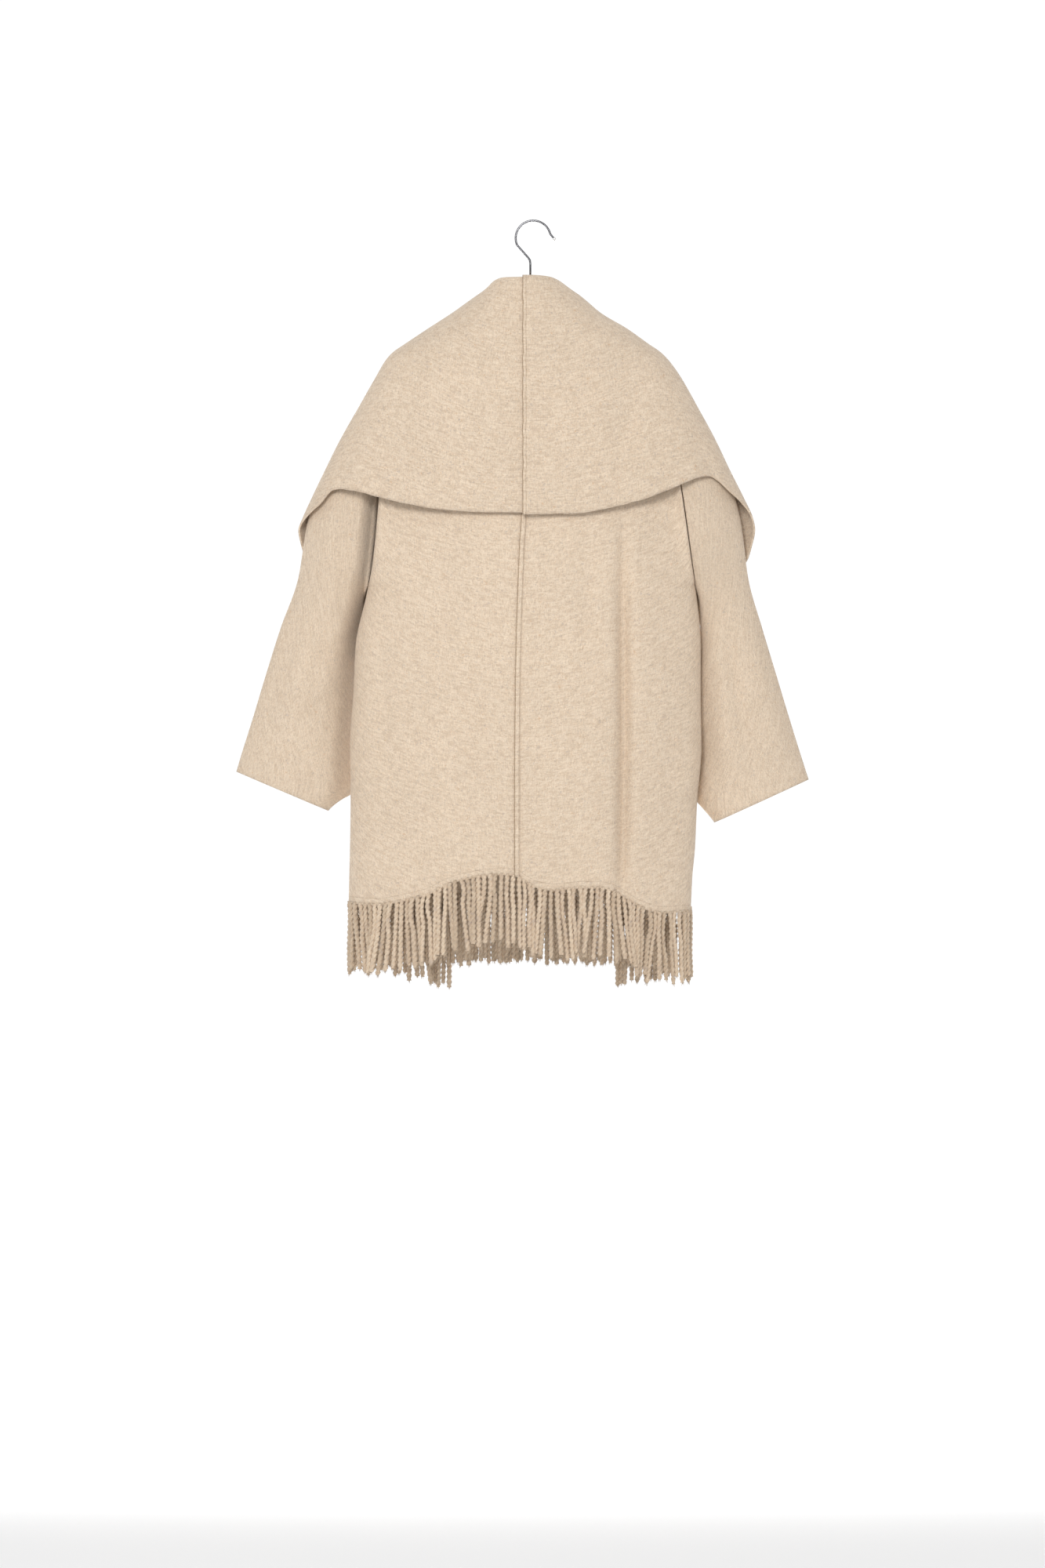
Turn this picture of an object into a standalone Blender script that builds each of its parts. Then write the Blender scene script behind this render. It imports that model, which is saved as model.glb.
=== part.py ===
"""A hip-length wool coat with a wide shawl collar and fringed hems, hanging on a hanger.

The back of the coat faces -Y and +Z is up. The origin is the underside of the hook's top.
Every size here is in millimetres, and meshes are made in metres.
"""

import math

import bmesh
import bpy
from mathutils import Vector

MM = 0.001
COAT_X = -12.0          # the coat's centre line, measured from the hook
WALL = 2.4              # thickness of the wool cloth
SEAM = 0.3              # gap between two pieces that are sewn together
LEFT = -1
RIGHT = 1
BACK = -1
FRONT = 1

# Outline of the collar from behind: half widths of the two sides, and half depth.
COLLAR_FORM = {
    "height": (-80, -96, -107, -129, -151, -173, -184, -195, -217, -261, -305, -349, -393,
               -415, -436, -471, -540, -620, -720, -850, -1000),
    "left": (50, 58, 71, 101, 135, 168, 184, 194, 207, 232, 257, 279, 300,
             310, 317, 316, 308, 288, 274, 265, 260),
    "right": (54, 68, 81, 106, 143, 174, 190, 201, 217, 242, 266, 287, 309,
              319, 323, 321, 312, 294, 282, 276, 272),
    "depth": (42, 47, 50, 55, 60, 65, 67.5, 70, 72.5, 77, 80.5, 83.5, 85.5,
              86.5, 87, 88, 88, 86, 84, 82, 80),
}

# Outline of the body: shoulder slope, armhole and side seam.
BODY_FORM = {
    "height": (-100, -111, -133, -155, -177, -188, -200, -260, -330, -393, -481, -525,
               -595, -657, -738, -811, -877, -921, -965),
    "left": (53, 68, 99, 132, 162, 177, 184, 192, 198, 203, 212, 221,
             236, 239, 244, 243, 244, 245, 246),
    "right": (65, 78, 104, 139, 168, 183, 190, 200, 210, 220, 233, 240,
              246, 246, 247, 241, 238, 234, 232),
    "depth": (40, 42, 47, 52, 56, 58, 60, 66, 71, 76, 77, 77,
              75, 74, 72, 70, 69, 68, 67),
}

# The centre back seam wanders to the left as it goes down.
BACK_SEAM = {"height": (-110, -414, -459, -652, -800, -970), "offset": (-2, -2, -4.6, -10, -11, -11)}

# Lower edges of the back and of the fronts, by distance from the coat's centre.
BACK_HEM = {
    "across": (-250, -206, -175, -153, -135, -118, -97, -80, -52, -32, -11, 1, 20, 42,
               78, 106, 122, 141, 155, 168, 191, 250),
    "height": (-956, -959, -954, -949, -944, -935, -926, -922, -917, -916, -918.5, -926,
               -935, -938, -934.5, -935, -939, -949, -958, -964, -970, -967),
}
FRONT_HEM = {"across": (-250, -120, 0, 120, 250), "height": (-956, -948, -946, -948, -966)}
FRONT_GAP = 3.0         # between the two front edges

# Neck seam, by angle round the body: 0 is the centre back, 90 the shoulder, 180 the front.
NECK_SEAM = {
    "angle": (0, 60, 90, 110, 125, 140, 156, 164, 169, 180),
    "height": (-122, -120, -118, -124, -131, -142, -172, -222, -280, -335),
}

# Armhole: the side edges of back and front part round it.
ARMHOLE_TOP = -199
ARMHOLE_FOOT = -510
ARMHOLE_HALF = 33.0
ARMHOLE_TURN = 12       # power that keeps the turn towards the armhole close to its edge

BACK_ANGLES = (0, 4, 8, 13, 18, 23, 29, 35, 42, 50, 59, 68, 77, 85, 90)
FRONT_ANGLES = (90, 94, 101, 110, 122, 134, 146, 156, 165, 172, 180)
PANEL_ROWS = (-118, -138, -158, -178, -190, -199, -203, -215, -245, -290, -355,
              -425, -475, -500, -509, -513, -535, -580, -650, -740, -850, -960)

# Soft vertical folds of the body: place, spread, reach and depth.
BODY_FOLDS = (
    {"across": 139, "spread": 16, "top": -440, "foot": -960, "depth": 5.0},
    {"across": 172, "spread": 14, "top": -480, "foot": -960, "depth": -3.0},
    {"across": -65, "spread": 18, "top": -640, "foot": -900, "depth": 2.5},
    {"across": -195, "spread": 14, "top": -430, "foot": -760, "depth": 3.0},
)
FOLD_FADE = 120.0       # height over which a fold begins and fades
FOLD_LOSS = 0.7         # share of its depth that it loses below its foot

# Collar round the neck and shoulders: height of the roll and of the raw edge, by angle.
COLLAR_CAPE = {
    "angle": (12, 22, 32, 44, 54, 62, 67, 71, 80, 90, 97, 103, 110, 118),
    "roll": (-81.5, -81.5, -81.5, -82, -84, -87, -90, -93, -99, -104, -107, -108, -109, -110),
    "left": (-411, -407.5, -400, -388.5, -380, -377, -379, -396, -414, -430, -448, -471, -486, -505),
    "right": (-413.5, -405, -393, -376, -363, -359, -367, -379, -398, -425, -448, -474, -490, -508),
}
COLLAR_CENTRE = {"roll": -81.5, "left": -412.5, "right": -414.5}
COLLAR_SEAM_EDGES = {"left": (4.0, -9.0), "right": (-3.0, 9.0)}

# Collar down the front, a row for each section: roll line, then raw edge.
LAPEL_COLUMNS = ("roll_height", "edge_height", "left_roll", "left_edge", "right_roll", "right_edge")
LAPEL_ROWS = (
    (-114, -524, 63, 264, 65, 272),
    (-122, -551, 61, 244, 62, 254),
    (-142, -590, 57, 226, 57, 238),
    (-176, -637, 52, 213, 52, 229),
    (-222, -690, 46, 204, 47, 223),
    (-275, -750, 42, 197, 44, 219),
    (-345, -810, 44, 192, 50, 216),
    (-470, -868, 52, 189, 66, 214),
    (-620, -919, 66, 187, 86, 213),
    (-800, -942, 82, 186, 106, 212),
    (-984, -961, 98, 186, 122, 212),
)
FALL_STEPS = (0.05, 0.14, 0.26, 0.4, 0.55, 0.7, 0.85, 1.0)
ROLL_POINTS = 5         # points of a section before the fall
STAND_INSET = 8.5       # the stand runs this far inside the fall
ROLL_INSET = 3.7
ROLL_TURN = 4.0         # height of the turn on each side of the roll
TUCK_INSET = 5.5        # on the front the stand becomes a turned-in strip
TUCK_WIDTH = 14.0
TUCK_DROP = 12.0        # the strip's inner edge hangs lower where the roll is steep
TUCK_LEVELS = (110, 180)
TUCK_TURN = 0.6         # share of the way from the strip to the roll
ROLL_FACE = 0.4         # inset of the outer side of the roll on the front
ROLL_SPREAD = 0.3
STAND_MIDDLE = 0.4      # share of the stand's height below the roll
STAND_LIFT = 0.5        # from the neck seam of the body to the foot of the stand
LAP_RISE = 3.4          # the right half laps over the left at the centre back
LAP_LIFT = 1.5          # share of that rise by which it stands higher on the roll
LAP_FADE = (9.0, 60.0)

# Sleeve sections from armhole to cuff: outer edge, inner edge, half thickness and forward swing.
SLEEVE_COLUMNS = ("outer_x", "outer_z", "inner_x", "inner_z", "half", "outer_y", "inner_y", "power")
SLEEVE_LEFT = (
    (190.5, -197, 221.3, -512, 34.5, 0, 0, 1.0),
    (231, -268, 227.5, -531, 34, 0, 4, 1.1),
    (271, -345, 231, -552, 31, 0, 10, 1.25),
    (303, -420, 234, -580, 27, 1, 16, 1.4),
    (317, -502, 236.5, -613, 26, 3, 20, 1.5),
    (341, -569, 236, -650, 27, 6, 20, 1.5),
    (362, -635, 238, -690, 28, 8, 20, 1.5),
    (382, -701, 241, -738, 27, 10, 20, 1.4),
    (396, -745, 243, -786, 26, 12, 19, 1.3),
    (404, -772, 277, -826, 25, 12, 18, 1.2),
)
SLEEVE_RIGHT = (
    (196.8, -197, 240.8, -512, 34.5, 0, 0, 1.0),
    (240, -268, 246, -531, 34, 0, 4, 1.1),
    (279, -345, 248, -552, 31, 0, 10, 1.25),
    (302, -420, 248, -580, 27, 1, 16, 1.4),
    (313, -502, 247, -613, 26, 3, 20, 1.5),
    (332, -569, 243, -650, 27, 6, 20, 1.5),
    (352, -635, 243, -695, 28, 8, 20, 1.5),
    (372, -701, 243, -745, 27, 10, 20, 1.4),
    (388, -752, 243, -797, 26, 12, 19, 1.3),
    (398, -783, 268.5, -842.5, 25, 12, 18, 1.2),
)
SLEEVE_STATIONS = (0, 0.5, 1, 1.5, 2, 3, 4, 5, 6, 7, 8, 8.5, 9)
SLEEVE_SIDES = 22
ARMHOLE_CLEAR = 2.8     # sleeve head to body, centre of wall to centre of wall

# Fringe: twisted warp ends below a narrow strip.
STRIP_GAP = 0.6         # from the hem down to the strip
STRIP_DROP = 5.0
STRAND_PITCH = 8.6
STRAND_WIDTH = 5.6
STRAND_THICK = 4.4
STRAND_LENGTH = 90.0
STRAND_STEPS = 2
STRAND_FREE = 4         # strands at each end of a fringe that hang straighter
LEAN_WAVES = ((4.0, 0.4), (0.5, 2.1))
LEAN_POWER = 1.4
SWAY_WAVE = (1.6, 0.7)
LENGTH_WAVE = (4.0, 2.3)
FRINGE_PHASES = {"back": 0.6, "front": 1.9, "lapel": 3.1}

# Hanger and hook.
WIRE = 3.0
LOOP_RADIUS = 24.6
LOOP_START = 14         # degrees round the loop, from the tip's side to the stem's
LOOP_END = 204
LOOP_STEP = 10
HOOK_TIP = (29.7, -24.2)
TIP_TURN = (-2.2, 2.4)
TIP_SWELL = (1.5, 1.7, 1.2)
STEM_X = -4.0
STEM_BEND = -54.0
STEM_TURNS = ((-3.0, 3.4), (-0.7, 0.0), (0.0, -4.5))    # places on the bend, from its middle
HANGER_THICK = 10.0
HANGER_NECK = {"across": (0, 25, 60, 80), "height": (-97, -99.5, -113, -123)}
HANGER_INNER = (0, 12, 25, 40, 60, 80)
HANGER_REACH = (102, 115, 130, 145, 156)
HANGER_DROP = 2.5       # hanger below the centre of the shoulder's wall
HANGER_DEEP = {"across": (0, 25, 60, 156), "height": (44, 38, 30, 19)}
SHOULDER_ROWS = 7       # rows of BODY_FORM that make up the shoulder slope
BORE_DEPTH = 14.0
BORE_RADIUS = 1.85

# Colours, as linear red, green and blue.
WOOL_COLOUR = (0.75, 0.60, 0.46)
YARN_COLOUR = (0.59, 0.47, 0.36)
WOOD_COLOUR = (0.55, 0.36, 0.18)
CHROME_COLOUR = (0.78, 0.78, 0.80)


def between(xs, ys, x):
    """Smooth curve through the points (xs, ys), which never overshoots them."""
    pairs = sorted(zip(xs, ys))
    xs = [pair[0] for pair in pairs]
    ys = [pair[1] for pair in pairs]
    if x <= xs[0]:
        return ys[0]
    if x >= xs[-1]:
        return ys[-1]
    steps = [(ys[i + 1] - ys[i]) / (xs[i + 1] - xs[i]) for i in range(len(xs) - 1)]
    slopes = [steps[0]]
    for before, after in zip(steps, steps[1:]):
        slopes.append(2 * before * after / (before + after) if before * after > 0 else 0.0)
    slopes.append(steps[-1])
    i = max(k for k in range(len(xs) - 1) if xs[k] <= x)
    width = xs[i + 1] - xs[i]
    t = (x - xs[i]) / width
    rise = ys[i] * (1 + 2 * t) * (1 - t) ** 2 + ys[i + 1] * t * t * (3 - 2 * t)
    return rise + width * (slopes[i] * t * (1 - t) ** 2 - slopes[i + 1] * t * t * (1 - t))


def read(table, column, key, value):
    return between(table[key], table[column], value)


def side_name(side):
    return "left" if side == LEFT else "right"


def soft_step(value, start, end):
    t = min(max((value - start) / (end - start), 0.0), 1.0)
    return t * t * (3 - 2 * t)


def plain_material(name, colour, roughness, metallic):
    material = bpy.data.materials.new(name)
    material.use_nodes = True
    surface = material.node_tree.nodes["Principled BSDF"]
    surface.inputs["Base Color"].default_value = (*colour, 1.0)
    surface.inputs["Roughness"].default_value = roughness
    surface.inputs["Metallic"].default_value = metallic
    return material


def make_object(name, mesh, material, smooth_angle=40):
    mesh.materials.append(material)
    mesh.shade_smooth()
    mesh.set_sharp_from_angle(angle=math.radians(smooth_angle))
    piece = bpy.data.objects.new(name, mesh)
    bpy.context.scene.collection.objects.link(piece)
    return piece


def cloth_piece(name, rows, material, ring=False, wall=WALL):
    """A cloth wall on a grid of points given in rows; a ring closes each row on itself."""
    shape = bmesh.new()
    grid = [[shape.verts.new(point * MM) for point in row] for row in rows]
    columns = len(rows[0])
    for upper, lower in zip(grid, grid[1:]):
        for i in range(columns if ring else columns - 1):
            j = (i + 1) % columns
            shape.faces.new((upper[i], upper[j], lower[j], lower[i]))
    mesh = bpy.data.meshes.new(name)
    shape.to_mesh(mesh)
    shape.free()
    piece = make_object(name, mesh, material)
    solid = piece.modifiers.new("cloth wall", "SOLIDIFY")
    solid.thickness = wall * MM
    solid.offset = 0.0
    return piece


def armhole_gap(height):
    """Half the distance between back and front at their side edges."""
    middle = (ARMHOLE_TOP + ARMHOLE_FOOT) / 2
    reach = (ARMHOLE_TOP - ARMHOLE_FOOT) / 2
    inside = 1 - ((height - middle) / reach) ** 2
    return SEAM + (ARMHOLE_HALF * math.sqrt(inside) if inside > 0 else 0.0)


def fold_depth(across, height):
    """How far the soft folds push the back inwards at one place."""
    total = 0.0
    for fold in BODY_FOLDS:
        spread = math.exp(-((across - fold["across"]) / fold["spread"]) ** 2)
        rises = soft_step(fold["top"] - height, 0, FOLD_FADE)
        ends = 1 - FOLD_LOSS * soft_step(fold["foot"] + FOLD_FADE - height, 0, FOLD_FADE)
        total += fold["depth"] * spread * rises * ends
    return total


def body_point(side, facing, angle, height):
    """A point of the body's wall, on the back (angles up to 90) or on the front (past 90)."""
    turn = math.radians(angle)
    half = read(BODY_FORM, side_name(side), "height", height)
    depth = read(BODY_FORM, "depth", "height", height)
    inner = 1 - math.sin(turn)
    if facing == BACK:
        centre = read(BACK_SEAM, "offset", "height", height) + side * SEAM / 2
    else:
        centre = side * FRONT_GAP / 2
    across = side * half * math.sin(turn) + centre * inner
    out = depth * abs(math.cos(turn)) + armhole_gap(height) * math.sin(turn) ** ARMHOLE_TURN
    if facing == BACK:
        return Vector((COAT_X + across, fold_depth(across, height) * math.cos(turn) - out, height))
    return Vector((COAT_X + across, out, height))


def body_panel(side, facing, angles, hem):
    """Rows of points from the neck and shoulder down to the hem."""
    top = PANEL_ROWS[0]
    foot = PANEL_ROWS[-1]
    rows = []
    for level in PANEL_ROWS:
        share = (level - foot) / (top - foot)
        row = []
        for angle in angles:
            across = body_point(side, facing, angle, foot).x - COAT_X
            hem_height = read(hem, "height", "across", across)
            neck_height = read(NECK_SEAM, "height", "angle", angle)
            height = hem_height + share * (neck_height - hem_height)
            row.append(body_point(side, facing, angle, height))
        rows.append(row)
    return rows


def collar_point(side, angle, height, inset=0.0, across=None, face=1):
    """A point of the collar; across, where given, is its distance from the coat's centre.

    The cloth's face looks outwards on the fall (face 1) and at the neck on the stand (face -1).
    """
    half = read(COLLAR_FORM, side_name(side), "height", height) - inset
    depth = read(COLLAR_FORM, "depth", "height", height) - inset
    if across is None:
        turn = math.radians(angle)
        across = side * half * math.sin(turn)
        out = depth * math.cos(turn)
    else:
        out = depth * math.sqrt(1 - (across / half) ** 2)
    rise = 0.0
    if side == RIGHT and angle < 90:
        rise = LAP_RISE * (1 - soft_step(abs(across), *LAP_FADE))
    lift = LAP_LIFT * rise if face == 0 else 0.0
    return Vector((COAT_X + across, -out - face * rise, height + lift))


def cape_section(side, angle, roll, edge, across=None):
    """From the foot of the stand, up over the roll and down to the raw edge."""
    neck = read(NECK_SEAM, "height", "angle", angle)
    points = [
        collar_point(side, angle, neck + STAND_LIFT, STAND_INSET, across, -1),
        collar_point(side, angle, roll + STAND_MIDDLE * (neck - roll), STAND_INSET - 1, across, -1),
        collar_point(side, angle, roll, ROLL_INSET, across, 0),
    ]
    points.insert(2, collar_point(side, angle, roll - ROLL_TURN, 2 * ROLL_INSET, across, -1))
    points.append(collar_point(side, angle, roll - ROLL_TURN, 0.3 * ROLL_INSET, across))
    for step in FALL_STEPS:
        points.append(collar_point(side, angle, roll + step * (edge - roll), 0.0, across))
    return points


def front_angle(side, across, height):
    half = read(COLLAR_FORM, side_name(side), "height", height)
    return 180 - math.degrees(math.asin(across / half))


def lapel_section(side, row):
    """From the turned-in strip, round the roll line and out to the raw edge."""
    cells = dict(zip(LAPEL_COLUMNS, row))
    roll = cells["roll_height"]
    edge = cells["edge_height"]
    roll_across = cells[side_name(side) + "_roll"]
    edge_angle = front_angle(side, cells[side_name(side) + "_edge"], edge)
    roll_angle = front_angle(side, roll_across, roll)
    drop = TUCK_DROP * (1 - soft_step(-roll, *TUCK_LEVELS))
    foot_angle = front_angle(side, roll_across + TUCK_WIDTH, roll - drop)
    tuck_angle = front_angle(side, roll_across + TUCK_WIDTH / 4, roll - drop / 4)
    points = [
        collar_point(side, foot_angle, roll - drop, TUCK_INSET),
        collar_point(side, tuck_angle, roll - drop / 4, TUCK_INSET),
        collar_point(side, tuck_angle + TUCK_TURN * (roll_angle - tuck_angle), roll, TUCK_INSET - ROLL_FACE),
        collar_point(side, roll_angle, roll, ROLL_INSET - 1),
        collar_point(side, roll_angle + ROLL_SPREAD * (tuck_angle - roll_angle), roll, ROLL_FACE),
    ]
    for step in FALL_STEPS:
        angle = roll_angle + step * (edge_angle - roll_angle)
        points.append(collar_point(side, angle, roll + step * (edge - roll)))
    return points


def collar_rows(side):
    name = side_name(side)
    roll = COLLAR_CENTRE["roll"]
    rows = [cape_section(side, 0, roll, COLLAR_CENTRE[name], across) for across in COLLAR_SEAM_EDGES[name]]
    for angle, roll, edge in zip(COLLAR_CAPE["angle"], COLLAR_CAPE["roll"], COLLAR_CAPE[name]):
        rows.append(cape_section(side, angle, roll, edge))
    rows.extend(lapel_section(side, row) for row in LAPEL_ROWS)
    return rows


def sleeve_rows(side):
    """Rings round the arm from the armhole to the cuff."""
    table = SLEEVE_LEFT if side == LEFT else SLEEVE_RIGHT
    keys = range(len(table))
    rows = []
    for station in SLEEVE_STATIONS:
        cells = {}
        for i, column in enumerate(SLEEVE_COLUMNS):
            cells[column] = between(keys, [row[i] for row in table], station)
        ring = []
        for i in range(SLEEVE_SIDES):
            turn = math.tau * i / SLEEVE_SIDES
            outer = (1 + math.cos(turn)) / 2
            across = cells["outer_x"] * outer + cells["inner_x"] * (1 - outer)
            height = cells["outer_z"] * outer + cells["inner_z"] * (1 - outer)
            if station == 0:
                across = read(BODY_FORM, side_name(side), "height", height) + ARMHOLE_CLEAR
            swing = cells["outer_y"] * outer + cells["inner_y"] * (1 - outer)
            bulge = cells["half"] * abs(math.sin(turn)) ** cells["power"]
            bulge = math.copysign(bulge, math.sin(turn))
            ring.append(Vector((COAT_X + side * across, swing - bulge, height)))
        rows.append(ring)
    return rows


def along(line, distance):
    """The point at one distance along a line of points, and the line's level direction there."""
    for start, end in zip(line, line[1:]):
        length = (end - start).length
        if distance <= length or end is line[-1]:
            direction = Vector((end.x - start.x, end.y - start.y, 0)).normalized()
            return start.lerp(end, min(distance / length, 1.0)), direction
        distance -= length
    raise ValueError("the line has no length")


def fringe_piece(name, hem, material, phase):
    """A narrow strip under a hem with strands hanging from it, all one body."""
    length = sum((end - start).length for start, end in zip(hem, hem[1:]))
    count = round(length / STRAND_PITCH)
    pitch = length / count
    shape = bmesh.new()

    def corners(place, lean, sway, drop):
        centre, direction = along(hem, place)
        normal = Vector((direction.y, -direction.x, 0))
        middle = centre + direction * lean + normal * sway - Vector((0, 0, drop))
        half = normal * STRAND_THICK / 2
        return shape.verts.new((middle + half) * MM), shape.verts.new((middle - half) * MM)

    places = [STRIP_GAP]
    for i in range(count):
        places.append((i + 0.5) * pitch - STRAND_WIDTH / 2)
        places.append((i + 0.5) * pitch + STRAND_WIDTH / 2)
    places.append(length - STRIP_GAP)
    top = [corners(place, 0, 0, STRIP_GAP) for place in places]
    foot = [corners(place, 0, 0, STRIP_GAP + STRIP_DROP) for place in places]
    for i in range(len(places) - 1):
        shape.faces.new((top[i][0], top[i + 1][0], foot[i + 1][0], foot[i][0]))
        shape.faces.new((top[i + 1][1], top[i][1], foot[i][1], foot[i + 1][1]))
        shape.faces.new((top[i][1], top[i + 1][1], top[i + 1][0], top[i][0]))
        if i % 2 == 0:
            shape.faces.new((foot[i][0], foot[i + 1][0], foot[i + 1][1], foot[i][1]))
            continue
        strand = i // 2
        free = min(1.0, strand / STRAND_FREE, (count - 1 - strand) / STRAND_FREE)
        lean = free * sum(reach * math.sin(turn * strand + phase) for reach, turn in LEAN_WAVES)
        sway = SWAY_WAVE[0] * math.sin(SWAY_WAVE[1] * strand + 2 * phase)
        strand_length = STRAND_LENGTH + LENGTH_WAVE[0] * math.sin(LENGTH_WAVE[1] * strand + phase)
        ring = (foot[i][0], foot[i + 1][0], foot[i + 1][1], foot[i][1])
        for step in range(1, STRAND_STEPS + 1):
            share = step / STRAND_STEPS
            drop = STRIP_GAP + STRIP_DROP + strand_length * share
            first = corners(places[i], lean * share ** LEAN_POWER, sway * share, drop)
            last = corners(places[i + 1], lean * share ** LEAN_POWER, sway * share, drop)
            lower = (first[0], last[0], last[1], first[1])
            for k in range(4):
                shape.faces.new((ring[k], ring[(k + 1) % 4], lower[(k + 1) % 4], lower[k]))
            ring = lower
        shape.faces.new(ring)
    shape.faces.new((top[0][0], foot[0][0], foot[0][1], top[0][1]))
    shape.faces.new((top[-1][1], foot[-1][1], foot[-1][0], top[-1][0]))
    bmesh.ops.recalc_face_normals(shape, faces=shape.faces)
    mesh = bpy.data.meshes.new(name)
    shape.to_mesh(mesh)
    shape.free()
    return make_object(name, mesh, material, 30)


def hanger_top(side, across):
    """Height of the hanger's upper edge: free inside the neck, then close under the shoulder."""
    name = side_name(side)
    places = list(HANGER_NECK["across"])
    heights = list(HANGER_NECK["height"])
    for reach in HANGER_REACH:
        shoulder = between(BODY_FORM[name][:SHOULDER_ROWS], BODY_FORM["height"][:SHOULDER_ROWS], reach)
        places.append(reach)
        heights.append(shoulder - HANGER_DROP)
    return between(places, heights, across)


def build_hanger(material):
    """A flat shaped bar with a bore for the hook's stem."""
    reaches = HANGER_INNER + HANGER_REACH
    stations = [(LEFT, reach) for reach in reversed(reaches[1:])] + [(RIGHT, reach) for reach in reaches]
    shape = bmesh.new()
    loops = []
    for side, reach in stations:
        top = hanger_top(side, reach)
        foot = top - read(HANGER_DEEP, "height", "across", reach)
        loop = []
        for out, height in ((-1, top), (1, top), (1, foot), (-1, foot)):
            place = Vector((COAT_X + side * reach, out * HANGER_THICK / 2, height))
            loop.append(shape.verts.new(place * MM))
        loops.append(loop)
    for left, right in zip(loops, loops[1:]):
        for k in range(4):
            shape.faces.new((left[k], left[(k + 1) % 4], right[(k + 1) % 4], right[k]))
    shape.faces.new(loops[0])
    shape.faces.new(loops[-1])
    bmesh.ops.recalc_face_normals(shape, faces=shape.faces)
    mesh = bpy.data.meshes.new("hanger_body")
    shape.to_mesh(mesh)
    shape.free()
    hanger = make_object("hanger_body", mesh, material)

    bore = bmesh.new()
    bmesh.ops.create_cone(
        bore, cap_ends=True, segments=16, radius1=BORE_RADIUS * MM, radius2=BORE_RADIUS * MM,
        depth=2 * BORE_DEPTH * MM)
    cutter_mesh = bpy.data.meshes.new("stem_bore")
    bore.to_mesh(cutter_mesh)
    bore.free()
    cutter = bpy.data.objects.new("stem_bore", cutter_mesh)
    cutter.location = Vector((STEM_X, 0, hanger_top(RIGHT, STEM_X - COAT_X))) * MM
    cutter.hide_render = True
    cutter.display_type = "WIRE"
    bpy.context.scene.collection.objects.link(cutter)
    cut = hanger.modifiers.new("stem bore", "BOOLEAN")
    cut.operation = "DIFFERENCE"
    cut.object = cutter
    return hanger


def hook_line():
    """Centre line of the wire, from the tip over the loop and down to the stem's foot."""
    middle = WIRE / 2 - LOOP_RADIUS
    line = [(HOOK_TIP[0], HOOK_TIP[1]), (HOOK_TIP[0] + TIP_TURN[0], HOOK_TIP[1] + TIP_TURN[1])]
    for degrees in range(LOOP_START, LOOP_END + 1, LOOP_STEP):
        turn = math.radians(degrees)
        line.append((LOOP_RADIUS * math.cos(turn), middle + LOOP_RADIUS * math.sin(turn)))
    line.extend((STEM_X + across, STEM_BEND + rise) for across, rise in STEM_TURNS)
    line.append((STEM_X, hanger_top(RIGHT, STEM_X - COAT_X) - BORE_DEPTH + SEAM))
    return line


def build_hook(material):
    curve = bpy.data.curves.new("hanger_hook", "CURVE")
    curve.dimensions = "3D"
    curve.bevel_depth = WIRE / 2 * MM
    curve.bevel_resolution = 2
    curve.use_fill_caps = True
    line = hook_line()
    spline = curve.splines.new("POLY")
    spline.points.add(len(line) - 1)
    for point, (across, height) in zip(spline.points, line):
        point.co = (across * MM, 0, height * MM, 1)
    for point, swell in zip(spline.points, TIP_SWELL):
        point.radius = swell
    curve.materials.append(material)
    hook = bpy.data.objects.new("hanger_hook", curve)
    bpy.context.scene.collection.objects.link(hook)
    return hook


def build_half(side, cloth, collar_cloth, fringe_yarn):
    """All the cloth of one side of the coat."""
    name = side_name(side)
    back = body_panel(side, BACK, BACK_ANGLES, BACK_HEM)
    front = body_panel(side, FRONT, FRONT_ANGLES, FRONT_HEM)
    collar = collar_rows(side)
    cloth_piece("back_" + name, back, cloth)
    cloth_piece("front_" + name, front, cloth)
    cloth_piece("sleeve_" + name, sleeve_rows(side), cloth, ring=True)
    cloth_piece("collar_" + name, collar, collar_cloth)
    fringe_piece("back_fringe_" + name, back[-1], fringe_yarn, FRINGE_PHASES["back"] * side)
    fringe_piece("front_fringe_" + name, front[-1], fringe_yarn, FRINGE_PHASES["front"] + side)
    fringe_piece("lapel_fringe_" + name, collar[-1][ROLL_POINTS:], fringe_yarn, FRINGE_PHASES["lapel"] + side)


def build_coat():
    for thing in list(bpy.data.objects):
        bpy.data.objects.remove(thing, do_unlink=True)
    cloth = plain_material("brushed wool", WOOL_COLOUR, 0.95, 0.0)
    collar_cloth = plain_material("brushed wool of the collar", WOOL_COLOUR, 0.95, 0.0)
    fringe_yarn = plain_material("twisted wool yarn", YARN_COLOUR, 0.95, 0.0)
    for side in (LEFT, RIGHT):
        build_half(side, cloth, collar_cloth, fringe_yarn)
    build_hanger(plain_material("waxed beech", WOOD_COLOUR, 0.5, 0.0))
    build_hook(plain_material("chromed wire", CHROME_COLOUR, 0.15, 1.0))


build_coat()
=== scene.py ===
"""A hip-length wool coat with a wide shawl collar and fringed hems, hanging on a hanger.

The back of the coat faces -Y. Shapes are worked out in millimetres and made in metres.
"""

import math
import random

import bmesh
import bpy
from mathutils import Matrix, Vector, noise


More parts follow.
